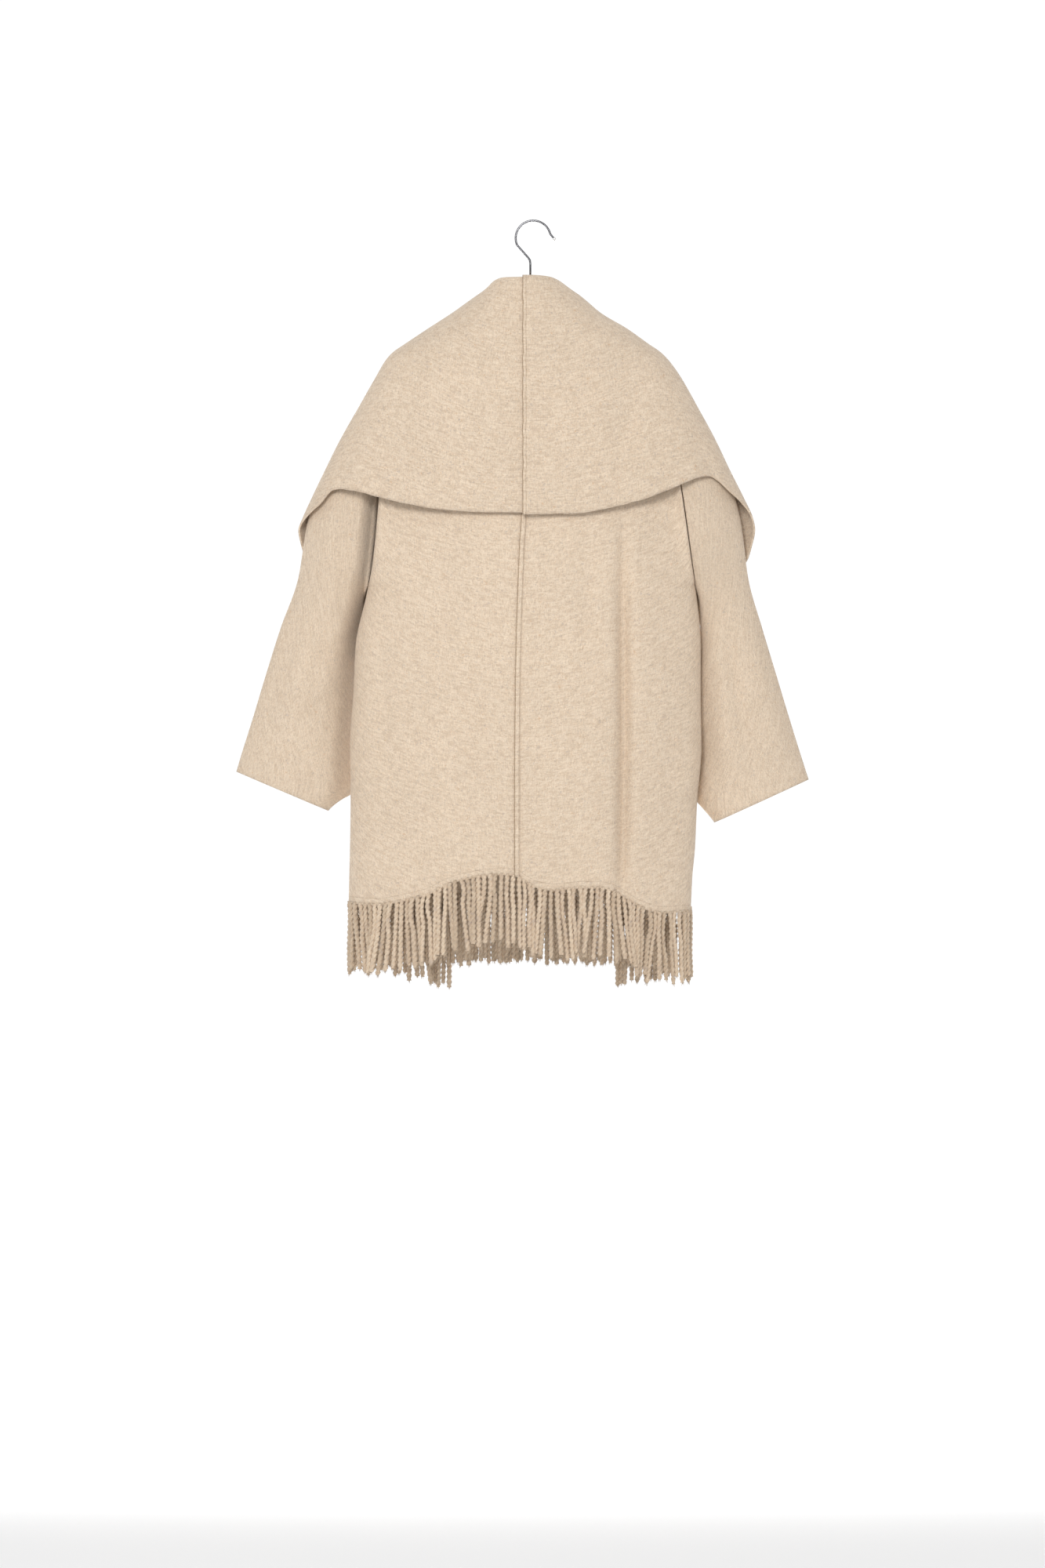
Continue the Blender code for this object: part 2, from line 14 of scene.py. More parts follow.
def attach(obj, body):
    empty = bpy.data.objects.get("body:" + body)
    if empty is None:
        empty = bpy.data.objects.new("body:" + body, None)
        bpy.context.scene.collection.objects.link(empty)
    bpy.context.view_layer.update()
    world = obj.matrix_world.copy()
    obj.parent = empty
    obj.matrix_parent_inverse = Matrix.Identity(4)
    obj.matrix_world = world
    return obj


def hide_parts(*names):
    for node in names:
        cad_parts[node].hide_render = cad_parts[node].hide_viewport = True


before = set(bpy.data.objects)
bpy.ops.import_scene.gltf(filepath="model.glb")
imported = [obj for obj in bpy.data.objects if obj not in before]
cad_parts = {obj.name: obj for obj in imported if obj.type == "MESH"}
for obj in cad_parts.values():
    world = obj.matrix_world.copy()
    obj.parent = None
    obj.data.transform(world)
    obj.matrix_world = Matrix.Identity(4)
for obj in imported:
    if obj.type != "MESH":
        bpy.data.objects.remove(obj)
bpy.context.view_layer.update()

MM = 0.001
COAT_X = -12.0
WALL = 2.4
SEAM = 0.3
LEFT = -1
RIGHT = 1
BACK = -1
FRONT = 1
SIDES = {"left": LEFT, "right": RIGHT}

# Outline of the collar from behind: half widths of the two sides, and half depth.
COLLAR_FORM = {
    "height": (-80, -96, -107, -129, -151, -173, -184, -195, -217, -261, -305, -349, -393,
               -415, -436, -471, -540, -620, -720, -850, -1000),
    "left": (50, 58, 71, 101, 135, 168, 184, 194, 207, 232, 257, 279, 300,
             310, 317, 316, 308, 288, 274, 265, 260),
    "right": (54, 68, 81, 106, 143, 174, 190, 201, 217, 242, 266, 287, 309,
              319, 323, 321, 312, 294, 282, 276, 272),
    "depth": (42, 47, 50, 55, 60, 65, 67.5, 70, 72.5, 77, 80.5, 83.5, 85.5,
              86.5, 87, 88, 88, 86, 84, 82, 80),
}

# Outline of the body: shoulder slope, armhole and side seam.
BODY_FORM = {
    "height": (-100, -111, -133, -155, -177, -188, -200, -260, -330, -393, -481, -525,
               -595, -657, -738, -811, -877, -921, -965),
    "left": (53, 68, 99, 132, 162, 177, 184, 192, 198, 203, 212, 221,
             236, 239, 244, 243, 244, 245, 246),
    "right": (65, 78, 104, 139, 168, 183, 190, 200, 210, 220, 233, 240,
              246, 246, 247, 241, 238, 234, 232),
    "depth": (40, 42, 47, 52, 56, 58, 60, 66, 71, 76, 77, 77,
              75, 74, 72, 70, 69, 68, 67),
}
BACK_SEAM = {"height": (-110, -414, -459, -652, -800, -970), "offset": (-2, -2, -4.6, -10, -11, -11)}
BACK_HEM = {
    "across": (-250, -206, -175, -153, -135, -118, -97, -80, -52, -32, -11, 1, 20, 42,
               78, 106, 122, 141, 155, 168, 191, 250),
    "height": (-956, -959, -954, -949, -944, -935, -926, -922, -917, -916, -918.5, -926,
               -935, -938, -934.5, -935, -939, -949, -958, -964, -970, -967),
}
FRONT_HEM = {"across": (-250, -120, 0, 120, 250), "height": (-956, -948, -946, -948, -966)}
FRONT_GAP = 3.0
NECK_SEAM = {
    "angle": (0, 60, 90, 110, 125, 140, 156, 164, 169, 180),
    "height": (-122, -120, -118, -124, -131, -142, -172, -222, -280, -335),
}
ARMHOLE_TOP = -199
ARMHOLE_FOOT = -510
ARMHOLE_HALF = 33.0
ARMHOLE_TURN = 12
PANEL_TOP = -118
PANEL_FOOT = -960
BODY_FOLDS = (
    {"across": 139, "spread": 16, "top": -440, "foot": -960, "depth": 5.0},
    {"across": 172, "spread": 14, "top": -480, "foot": -960, "depth": -3.0},
    {"across": -65, "spread": 18, "top": -640, "foot": -900, "depth": 2.5},
    {"across": -195, "spread": 14, "top": -430, "foot": -760, "depth": 3.0},
)
FOLD_FADE = 120.0
FOLD_LOSS = 0.7

# Collar round the neck and shoulders: height of the roll and of the raw edge, by angle.
COLLAR_CAPE = {
    "angle": (0, 12, 22, 32, 44, 54, 62, 67, 71, 80, 90, 97, 103, 110, 118),
    "roll": (-81.5, -81.5, -81.5, -81.5, -82, -84, -87, -90, -93, -99, -104, -107, -108, -109, -110),
    "left": (-412.5, -411, -407.5, -400, -388.5, -380, -377, -379, -396, -414, -430, -448, -471,
             -486, -505),
    "right": (-414.5, -413.5, -405, -393, -376, -363, -359, -367, -379, -398, -425, -448, -474,
              -490, -508),
}
COLLAR_SEAM_EDGES = {"left": (4.0, -9.0), "right": (-3.0, 9.0)}
CAPE_START = 12
CAPE_END = 118

# Collar down the front: heights and distances from the centre of its roll line and its raw edge.
LAPEL_COLUMNS = ("roll_height", "edge_height", "left_roll", "left_edge", "right_roll", "right_edge")
LAPEL_ROWS = (
    (-114, -524, 63, 264, 65, 272),
    (-122, -551, 61, 244, 62, 254),
    (-142, -590, 57, 226, 57, 238),
    (-176, -637, 52, 213, 52, 229),
    (-222, -690, 46, 204, 47, 223),
    (-275, -750, 42, 197, 44, 219),
    (-345, -810, 44, 192, 50, 216),
    (-470, -868, 52, 189, 66, 214),
    (-620, -919, 66, 187, 86, 213),
    (-800, -942, 82, 186, 106, 212),
    (-984, -961, 98, 186, 122, 212),
)

# How the collar stands at the neck, rolls over, is tucked in at the front and laps at the back.
STAND_INSET = 8.5
STAND_INSET_MIDDLE = 7.5
STAND_MIDDLE = 0.4
STAND_LIFT = 0.5
ROLL_INSET = 3.7
ROLL_INSET_OUT = 1.11
ROLL_INSET_FRONT = 2.7
ROLL_TURN = 4.0
ROLL_FACE = 0.4
ROLL_SPREAD = 0.3
TUCK_INSET = 5.5
TUCK_WIDTH = 14.0
TUCK_DROP = 12.0
TUCK_LEVELS = (110, 180)
TUCK_TURN = 0.6
TUCK_PART = 0.25
LAP_RISE = 3.4
LAP_LIFT = 0.8
LAP_FADE = (9.0, 60.0)
NECK_POINTS = 5         # points of a section from its foot to past the roll
NECK_PARTS = 3          # parts that a round line makes of each step between them
NECK_END = NECK_POINTS * NECK_PARTS

# Sleeve sections from armhole to cuff: outer edge, inner edge, half thickness, swing and roundness.
SLEEVE_COLUMNS = ("outer_x", "outer_z", "inner_x", "inner_z", "half", "outer_y", "inner_y", "power")
SLEEVES = {
    "left": (
        (190.5, -197, 221.3, -512, 34.5, 0, 0, 1.0),
        (231, -268, 227.5, -531, 34, 0, 4, 1.1),
        (271, -345, 231, -552, 31, 0, 10, 1.25),
        (303, -420, 234, -580, 27, 1, 16, 1.4),
        (317, -502, 236.5, -613, 26, 3, 20, 1.5),
        (341, -569, 236, -650, 27, 6, 20, 1.5),
        (362, -635, 238, -690, 28, 8, 20, 1.5),
        (382, -701, 241, -738, 27, 10, 20, 1.4),
        (396, -745, 243, -786, 26, 12, 19, 1.3),
        (404, -772, 277, -826, 25, 12, 18, 1.2),
    ),
    "right": (
        (196.8, -197, 240.8, -512, 34.5, 0, 0, 1.0),
        (240, -268, 246, -531, 34, 0, 4, 1.1),
        (279, -345, 248, -552, 31, 0, 10, 1.25),
        (302, -420, 248, -580, 27, 1, 16, 1.4),
        (313, -502, 247, -613, 26, 3, 20, 1.5),
        (332, -569, 243, -650, 27, 6, 20, 1.5),
        (352, -635, 243, -695, 28, 8, 20, 1.5),
        (372, -701, 243, -745, 27, 10, 20, 1.4),
        (388, -752, 243, -797, 26, 12, 19, 1.3),
        (398, -783, 268.5, -842.5, 25, 12, 18, 1.2),
    ),
}

# Where the sleeve sinks and tucks in beside the body: depth, tuck, width, top and foot.
SLEEVE_HOLLOWS = {
    "left": ((29.0, 4.0, 29, (330, 390), (900, 1000)), (25.0, 8.0, 19, (530, 600), (880, 960)),
             (8.0, 0.0, 46, (540, 640), (900, 1000))),
    "right": ((10.0, 4.0, 40, (560, 700), (900, 1000)), (16.0, 4.0, 16, (690, 750), (790, 840))),
}
HOLLOW_ROUND = 0.4
TUCK_TOP = (520, 580)

# The sleeve beside the armhole: its gap from the body, and how far it stands out there.
ARMHOLE_CLEAR = {"left": 2.8, "right": 2.5}
ARMHOLE_FILL = {"left": -2.0, "right": 4.5}
ARMHOLE_LEVEL = 1.15    # on the right the back meets the sleeve without a step
ARMHOLE_LEVEL_TURN = 20
FILL_STARTS = (0.0, 0.3)
FILL_ENDS = (1.2, 3.4)


def curve(xs, ys):
    """A smooth curve through the points, which never overshoots them."""
    pairs = sorted(zip(xs, ys))
    xs = [pair[0] for pair in pairs]
    ys = [pair[1] for pair in pairs]
    last = len(xs) - 1
    steps = [(ys[i + 1] - ys[i]) / (xs[i + 1] - xs[i]) for i in range(last)]
    slopes = [steps[0]]
    for before, after in zip(steps, steps[1:]):
        slopes.append(2 * before * after / (before + after) if before * after > 0 else 0.0)
    slopes.append(steps[-1])

    def at(x):
        if x <= xs[0]:
            return ys[0]
        if x >= xs[-1]:
            return ys[-1]
        i = 0
        while xs[i + 1] <= x:
            i += 1
        width = xs[i + 1] - xs[i]
        t = (x - xs[i]) / width
        rise = ys[i] * (1 + 2 * t) * (1 - t) ** 2 + ys[i + 1] * t * t * (3 - 2 * t)
        return rise + width * (slopes[i] * t * (1 - t) ** 2 - slopes[i + 1] * t * t * (1 - t))

    return at


def curves(table, key):
    """One curve for each column of a table, over the column named as key."""
    return {name: curve(table[key], table[name]) for name in table if name != key}


def row_curves(names, rows):
    """One curve for each column of a table of rows, over the rows' numbers."""
    return {name: curve(range(len(rows)), column) for name, column in zip(names, zip(*rows))}


collar_form = curves(COLLAR_FORM, "height")
body_form = curves(BODY_FORM, "height")
collar_cape = curves(COLLAR_CAPE, "angle")
back_seam = curve(BACK_SEAM["height"], BACK_SEAM["offset"])
back_hem = curve(BACK_HEM["across"], BACK_HEM["height"])
front_hem = curve(FRONT_HEM["across"], FRONT_HEM["height"])
neck_seam = curve(NECK_SEAM["angle"], NECK_SEAM["height"])
lapel = row_curves(LAPEL_COLUMNS, LAPEL_ROWS)
sleeves = {word: row_curves(SLEEVE_COLUMNS, rows) for word, rows in SLEEVES.items()}


def soft_step(value, start, end):
    """Rises softly from 0 at the start to 1 at the end."""
    t = min(max((value - start) / (end - start), 0.0), 1.0)
    return t * t * (3 - 2 * t)


def spaced(points, step):
    """The given numbers with evenly spaced ones between them, no further apart than step."""
    made = [points[0]]
    for start, end in zip(points, points[1:]):
        count = max(1, math.ceil(abs(end - start) / step))
        made.extend(start + (end - start) * i / count for i in range(1, count + 1))
    return made


# Creases of the cloth: a path over the piece seen from the back or front, half width and height.
BACK_CREASES = (
    (((137, -420), (137, -560), (139, -720), (136, -900), (134, -950)), 8, -19.0),
    (((155, -430), (154, -600), (157, -800), (152, -950)), 9, 3.2),
    (((-66, -600), (-60, -700), (-64, -800)), 11, -4.0),
    (((-205, -560), (-196, -680), (-190, -800)), 10, -3.4),
    (((196, -600), (188, -740), (190, -880)), 10, 3.0),
    (((60, -470), (66, -600), (58, -690)), 14, 2.0),
    (((-130, -450), (-138, -560), (-128, -650)), 13, 2.0),
    (((30, -780), (36, -860), (30, -930)), 12, 2.0),
    (((92, -430), (88, -520), (95, -600)), 10, -2.4),
)
FRONT_CREASES = (
    (((80, -560), (90, -700), (84, -900)), 12, 1.2),
    (((-95, -600), (-88, -740), (-96, -880)), 12, -1.2),
)
COLLAR_CREASES = (
    (((156, -246), (146, -280), (130, -318), (118, -345)), 15, -5.2),
    (((178, -262), (170, -300), (160, -340)), 12, 2.2),
    (((-66, -318), (-54, -360), (-48, -398)), 15, -4.6),
    (((-34, -300), (-26, -350), (-20, -390)), 12, 1.8),
    (((-120, -190), (-150, -280), (-170, -372)), 20, 2.2),
    (((96, -180), (112, -230), (104, -290)), 18, 2.0),
    (((-40, -150), (-52, -240), (-46, -300)), 16, -1.6),
    (((48, -200), (62, -300), (56, -380)), 16, 1.8),
    (((236, -300), (262, -360), (280, -420)), 10, -2.4),
    (((-228, -290), (-252, -350), (-270, -410)), 10, -2.2),
)
SLEEVE_CREASES = {
    "left": (
        (((-252, -600), (-262, -660), (-282, -740)), 10, -6.0),
        (((-300, -520), (-312, -620), (-338, -760)), 14, 3.6),
        (((-258, -640), (-292, -690), (-330, -706)), 11, -3.6),
        (((-318, -560), (-345, -640), (-372, -740)), 12, -3.4),
        (((-248, -560), (-272, -588), (-300, -600)), 9, 2.4),
        (((-262, -370), (-270, -450), (-276, -560)), 24, 7.0),
    ),
    "right": (
        (((282, -560), (292, -640), (322, -790)), 10, -6.4),
        (((254, -640), (262, -720), (276, -820)), 9, -3.4),
        (((312, -530), (336, -640), (362, -760)), 14, 3.4),
        (((250, -600), (276, -628), (306, -640)), 9, 3.0),
        (((300, -700), (332, -734), (366, -748)), 10, -2.8),
    ),
}
CREASE_TIP = 0.02
CREASE_ROUND = 0.6
SLEEVE_FRONT_SHIFT = (12, -20)
SLEEVE_FRONT_SHARE = 0.8
FRONT_SLEEVE_CREASES = {
    word: tuple(
        (tuple((x + side * SLEEVE_FRONT_SHIFT[0], z + SLEEVE_FRONT_SHIFT[1]) for x, z in path),
         half, SLEEVE_FRONT_SHARE * depth)
        for path, half, depth in SLEEVE_CREASES[word][1:])
    for word, side in SIDES.items()}

# Slow unevenness of each kind of piece: size and height.
BODY_BUMPS = (90, 1.6)
COLLAR_BUMPS = (80, 1.5)
SLEEVE_BUMPS = (70, 1.8)
BODY_SHOWS = (430, 500)         # below the neck, where the collar no longer covers the body
SLEEVE_SHOWS = (0.8, 3)         # the same in stations of the sleeve
COLLAR_SMOOTH = (6, 30)         # the collar has no creases beside its seam
COLLAR_ROOM = 5.5               # how far the collar may sink towards the back
COLLAR_FREE = 0.6

# The lapped seam down the centre of the back, and the one down the collar.
SEAM_RIDGE = 6.4
SEAM_HEIGHT = 2.65
SEAM_SIDES = (0.4 * SEAM_RIDGE, 0.7 * SEAM_RIDGE)
SEAM_TOP = (150, 260)
SEAM_ANGLES = (-0.78, -0.7, -0.4, 0, 0.3, 0.6, 0.8, 0.95, 1.15, 1.4, 1.8)
SEAM_START = 0.002      # the seam attribute is 0 away from a seam, so it starts past this

# Raw edges that aren't cut quite straight: size and reach of their waves.
RAW_WAVE = (14, 0.9)
LAP_WAVE = (16, 1.1)

# How closely the points of the cloth stand.
COLLAR_STEPS = 56
COLLAR_FIRST = 0.05
COLLAR_SEAM_STEP = 1.0
COLLAR_ANGLE_STEP = 1.5
COLLAR_ROW_STEP = 0.125
CAPE_BLEND = 7
LAPEL_BLEND = 5
BODY_ANGLE_STEP = 1.35
BODY_LEVEL_STEP = 6.0
BODY_LEVELS = (PANEL_TOP, -190, -196, -199, -203, -209, -220, -500, -507, -509.5, -510.5, -513,
               -520, PANEL_FOOT)
SLEEVE_SIDES = 80
SLEEVE_STATIONS = (0, 0.06, 0.2, 9)
SLEEVE_STEP = 0.09


def crease_height(creases, across, height):
    """How far the creases lift the cloth at one place."""
    total = 0.0
    for path, half, depth in creases:
        if not path[-1][1] - 3 * half < height < path[0][1] + 3 * half:
            continue
        near = None
        for k, (start, end) in enumerate(zip(path, path[1:])):
            run = (end[0] - start[0], end[1] - start[1])
            t = ((across - start[0]) * run[0] + (height - start[1]) * run[1]) / (run[0] ** 2 + run[1] ** 2)
            t = min(max(t, 0.0), 1.0)
            gap = math.hypot(across - start[0] - t * run[0], height - start[1] - t * run[1])
            if near is None or gap < near[0]:
                near = (gap, (k + t) / (len(path) - 1))
        place = min(max(near[1], CREASE_TIP), 1 - CREASE_TIP)
        fade = math.sin(math.pi * place) ** CREASE_ROUND
        total += depth * fade * math.exp(-(near[0] / half) ** 2)
    return total


def soft_bumps(point, size, height):
    """Slow unevenness of hanging wool."""
    return height * noise.noise(Vector((point.x / size, point.y / size, point.z / (1.6 * size))))


def armhole_gap(height):
    """Half the opening between back and front beside the sleeve."""
    middle = (ARMHOLE_TOP + ARMHOLE_FOOT) / 2
    reach = (ARMHOLE_TOP - ARMHOLE_FOOT) / 2
    inside = 1 - ((height - middle) / reach) ** 2
    return SEAM + (ARMHOLE_HALF * math.sqrt(inside) if inside > 0 else 0.0)


def fold_depth(across, height):
    """How far the body's long folds stand in or out at one place."""
    total = 0.0
    for fold in BODY_FOLDS:
        spread = math.exp(-((across - fold["across"]) / fold["spread"]) ** 2)
        rises = soft_step(fold["top"] - height, 0, FOLD_FADE)
        ends = 1 - FOLD_LOSS * soft_step(fold["foot"] + FOLD_FADE - height, 0, FOLD_FADE)
        total += fold["depth"] * spread * rises * ends
    return total


def body_point(word, facing, angle, height, finish=True):
    """A point of the body's wall, on the back (angles up to 90) or on the front (past 90)."""
    side = SIDES[word]
    turn = math.radians(angle)
    half = body_form[word](height)
    depth = body_form["depth"](height)
    inner = 1 - math.sin(turn)
    centre = back_seam(height) + side * SEAM / 2 if facing == BACK else side * FRONT_GAP / 2
    across = side * half * math.sin(turn) + centre * inner
    part = armhole_gap(height)
    power = ARMHOLE_TURN
    if facing == BACK and side == RIGHT and finish:
        part *= ARMHOLE_LEVEL
        power = ARMHOLE_LEVEL_TURN
    out = depth * abs(math.cos(turn)) + part * abs(math.sin(turn)) ** power
    point = Vector((COAT_X + across, facing * out, height))
    if facing == BACK:
        point.y += fold_depth(across, height) * math.cos(turn)
    if not finish:
        return point
    shown = soft_step(-height, *BODY_SHOWS) * abs(math.cos(turn))
    lift = soft_bumps(point, *BODY_BUMPS) * shown
    if facing == BACK:
        lift += crease_height(BACK_CREASES, across, height) * abs(math.cos(turn))
        if side == RIGHT:
            ridge = 1 - soft_step(across - centre, *SEAM_SIDES)
            lift += SEAM_HEIGHT * ridge * soft_step(-height, *SEAM_TOP)
    else:
        lift += crease_height(FRONT_CREASES, across, height) * shown
    point.y += facing * lift
    return point


def body_place(word, facing, hem, angle, level):
    """A point at one angle and at one level, between the neck and the hem."""
    share = (level - PANEL_FOOT) / (PANEL_TOP - PANEL_FOOT)
    across = body_point(word, facing, angle, PANEL_FOOT, False).x - COAT_X
    low = hem(across)
    high = neck_seam(abs(angle))
    return body_point(word, facing, angle, low + share * (high - low))


def collar_point(word, angle, height, inset=0.0, across=None, face=1):
    """A point of the collar, set in from its outline; face is 1 outside, -1 inside and 0 on the roll."""
    side = SIDES[word]
    half = collar_form[word](height) - inset
    depth = collar_form["depth"](height) - inset
    if across is None:
        turn = math.radians(angle)
        across = side * half * math.sin(turn)
        out = depth * math.cos(turn)
    else:
        out = depth * math.sqrt(1 - (across / half) ** 2)
    rise = 0.0
    if side == RIGHT and angle < 90:
        rise = LAP_RISE * (1 - soft_step(abs(across), *LAP_FADE))
    lift = LAP_LIFT * rise if face == 0 else 0.0
    return Vector((COAT_X + across, -out - face * rise, height + lift))


def cape_section(word, angle, across, steps):
    """From the foot of the stand, up over the roll and down to the raw edge."""
    roll = collar_cape["roll"](angle)
    edge = collar_cape[word](angle)
    neck = neck_seam(angle)
    points = [
        collar_point(word, angle, neck + STAND_LIFT, STAND_INSET, across, -1),
        collar_point(word, angle, roll + STAND_MIDDLE * (neck - roll), STAND_INSET_MIDDLE, across, -1),
        collar_point(word, angle, roll - ROLL_TURN, 2 * ROLL_INSET, across, -1),
        collar_point(word, angle, roll, ROLL_INSET, across, 0),
        collar_point(word, angle, roll - ROLL_TURN, ROLL_INSET_OUT, across),
    ]
    points.extend(collar_point(word, angle, roll + step * (edge - roll), 0.0, across) for step in steps)
    return points


def front_angle(word, across, height):
    """The angle at which the front of the collar is so far from its centre line."""
    return 180 - math.degrees(math.asin(across / collar_form[word](height)))


def lapel_section(word, row, steps):
    """From the turned-in strip, round the roll line and out to the raw edge."""
    roll = lapel["roll_height"](row)
    edge = lapel["edge_height"](row)
    roll_across = lapel[word + "_roll"](row)
    edge_angle = front_angle(word, lapel[word + "_edge"](row), edge)
    roll_angle = front_angle(word, roll_across, roll)
    drop = TUCK_DROP * (1 - soft_step(-roll, *TUCK_LEVELS))
    foot_angle = front_angle(word, roll_across + TUCK_WIDTH, roll - drop)
    near = roll - TUCK_PART * drop
    tuck_angle = front_angle(word, roll_across + TUCK_PART * TUCK_WIDTH, near)
    points = [
        collar_point(word, foot_angle, roll - drop, TUCK_INSET),
        collar_point(word, tuck_angle, near, TUCK_INSET),
        collar_point(word, tuck_angle + TUCK_TURN * (roll_angle - tuck_angle), roll,
                     TUCK_INSET - ROLL_FACE),
        collar_point(word, roll_angle, roll, ROLL_INSET_FRONT),
        collar_point(word, roll_angle + ROLL_SPREAD * (tuck_angle - roll_angle), roll, ROLL_FACE),
    ]
    for step in steps:
        angle = roll_angle + step * (edge_angle - roll_angle)
        points.append(collar_point(word, angle, roll + step * (edge - roll)))
    return points


def bent(points):
    """The first points of a section with a round line through them, and the rest as they are."""
    made = []
    for k in range(NECK_POINTS):
        before = points[max(k - 1, 0)]
        after = points[min(k + 2, len(points) - 1)]
        for i in range(NECK_PARTS):
            t = i / NECK_PARTS
            start = (points[k + 1] - before) / 2
            end = (after - points[k]) / 2
            place = points[k] * (1 + 2 * t) * (1 - t) ** 2 + points[k + 1] * t * t * (3 - 2 * t)
            made.append(place + start * t * (1 - t) ** 2 - end * t * t * (1 - t))
    return made + points[NECK_POINTS:]


def blended(first, last, parts):
    """Rows of points between two rows."""
    return [[a.lerp(b, i / parts) for a, b in zip(first, last)] for i in range(1, parts)]


def creased(line):
    """A section of the collar with its creases and its raw edge."""
    last = len(line) - 1
    for k in range(NECK_END, len(line)):
        point = line[k]
        across = point.x - COAT_X
        lift = soft_bumps(point, *COLLAR_BUMPS) * soft_step(k, NECK_END, last * COLLAR_FREE)
        if point.y < 0:
            crease = crease_height(COLLAR_CREASES, across, point.z)
            lift += crease * soft_step(abs(across), *COLLAR_SMOOTH)
            point.y -= max(lift, -COLLAR_ROOM)
        else:
            point.y += lift
    size, reach = RAW_WAVE
    edge = line[-1]
    wave = reach * noise.noise(Vector((edge.x / size, edge.y / size, edge.z / size)))
    line[-1] = edge + (edge - line[-3]).normalized() * wave
    return line


def collar_rows(word):
    """Sections of the collar from the centre back to the hem of the front."""
    steps = spaced((COLLAR_FIRST, 1.0), 1 / COLLAR_STEPS)
    rows = [cape_section(word, 0, across, steps)
            for across in spaced(COLLAR_SEAM_EDGES[word], COLLAR_SEAM_STEP)]
    rows.extend(blended(rows[-1], cape_section(word, CAPE_START, None, steps), CAPE_BLEND))
    rows.extend(cape_section(word, angle, None, steps)
                for angle in spaced((CAPE_START, CAPE_END), COLLAR_ANGLE_STEP))
    rows.extend(blended(rows[-1], lapel_section(word, 0, steps), LAPEL_BLEND))
    rows.extend(lapel_section(word, row, steps)
                for row in spaced((0, len(LAPEL_ROWS) - 1), COLLAR_ROW_STEP))
    made = [creased(bent(row)) for row in rows]
    if SIDES[word] == RIGHT:
        size, reach = LAP_WAVE
        for first, second in zip(made[0][NECK_END:], made[1][NECK_END:]):
            sway = reach * noise.noise(Vector((3.0, 0.0, first.z / size)))
            first.x += sway
            second.x += 0.5 * sway
    return made


def sleeve_hollow(word, station, turn, beside, height):
    """How far the sleeve sinks beside the body, and how far it tucks in behind the body's edge."""
    hang = soft_step(station, 0, 1)
    faces_back = math.sin(turn) >= 0
    held = hang + (1 - hang) * abs(math.sin(turn)) ** HOLLOW_ROUND * faces_back
    sunk = 0.0
    tucked = 0.0
    for deep, tuck, width, top, foot in SLEEVE_HOLLOWS[word]:
        near = (1 - soft_step(beside, 0, width)) * soft_step(-height, *top)
        near *= (1 - soft_step(-height, *foot)) * held
        sunk += deep * near
        tucked += tuck * near
    return sunk, tucked * hang * soft_step(-height, *TUCK_TOP)


def sleeve_ring(word, station):
    """A ring of points round the sleeve, from station 0 at the armhole to the last at the cuff."""
    cells = {name: sleeves[word][name](station) for name in SLEEVE_COLUMNS}
    side = SIDES[word]
    ring = []
    for i in range(SLEEVE_SIDES):
        turn = math.tau * i / SLEEVE_SIDES
        middle = abs(math.sin(turn))
        facing = FRONT if math.sin(turn) < 0 else BACK
        outer = (1 + math.cos(turn)) / 2
        across = cells["outer_x"] * outer + cells["inner_x"] * (1 - outer)
        height = cells["outer_z"] * outer + cells["inner_z"] * (1 - outer)
        body_edge = body_form[word](height)
        if station == 0:
            across = body_edge + ARMHOLE_CLEAR[word]
        swing = cells["outer_y"] * outer + cells["inner_y"] * (1 - outer)
        bulge = cells["half"] * middle ** cells["power"]
        point = Vector((COAT_X + side * across, swing + facing * bulge, height))
        creases = SLEEVE_CREASES if facing == BACK else FRONT_SLEEVE_CREASES
        lift = crease_height(creases[word], side * across, height) + soft_bumps(point, *SLEEVE_BUMPS)
        lift *= soft_step(station, *SLEEVE_SHOWS) * middle
        fill = 1 - soft_step(station, *FILL_ENDS)
        if side == LEFT or facing == FRONT:
            fill *= soft_step(station, *FILL_STARTS)
        lift += ARMHOLE_FILL[word] * fill * middle ** 2
        sunk, tucked = sleeve_hollow(word, station, turn, across - body_edge, height)
        point.y += facing * lift + sunk
        point.x -= side * tucked
        ring.append(point)
    return ring


def grid_on(shape, rows, ring=False):
    """Adds a grid of faces whose corners stand on the given rows of points."""
    down = len(rows) - 1
    along = len(rows[0]) - (0 if ring else 1)
    made = bmesh.ops.create_grid(shape, x_segments=along, y_segments=down, size=1.0)["verts"]
    low = (min(v.co.x for v in made), min(v.co.y for v in made))
    high = (max(v.co.x for v in made), max(v.co.y for v in made))
    places = {}
    for vert in made:
        i = round((vert.co.x - low[0]) / (high[0] - low[0]) * along)
        j = round((high[1] - vert.co.y) / (high[1] - low[1]) * down)
        vert.co = rows[j][i % len(rows[0])] * MM
        places[vert] = (i, j)
    return places


def flat_lengths(rows, ring):
    """Distances along each row, and from row to row, as in the flat cut."""
    across = []
    for row in rows:
        line = [0.0]
        points = row + [row[0]] if ring else row
        for start, end in zip(points, points[1:]):
            line.append(line[-1] + (end - start).length)
        across.append(line)
    down = [[0.0] * len(across[0])]
    for upper, lower in zip(rows, rows[1:]):
        steps = [(a - b).length for a, b in zip(upper, lower)]
        steps = steps + [steps[0]] if ring else steps
        down.append([total + step for total, step in zip(down[-1], steps)])
    return across, down


def finished(name, shape, material):
    """Makes a piece from a shape, riding on the coat's one body."""
    mesh = bpy.data.meshes.new(name)
    shape.to_mesh(mesh)
    shape.free()
    mesh.shade_smooth()
    mesh.materials.append(material)
    piece = bpy.data.objects.new(name, mesh)
    bpy.context.scene.collection.objects.link(piece)
    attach(piece, "root")
    return piece


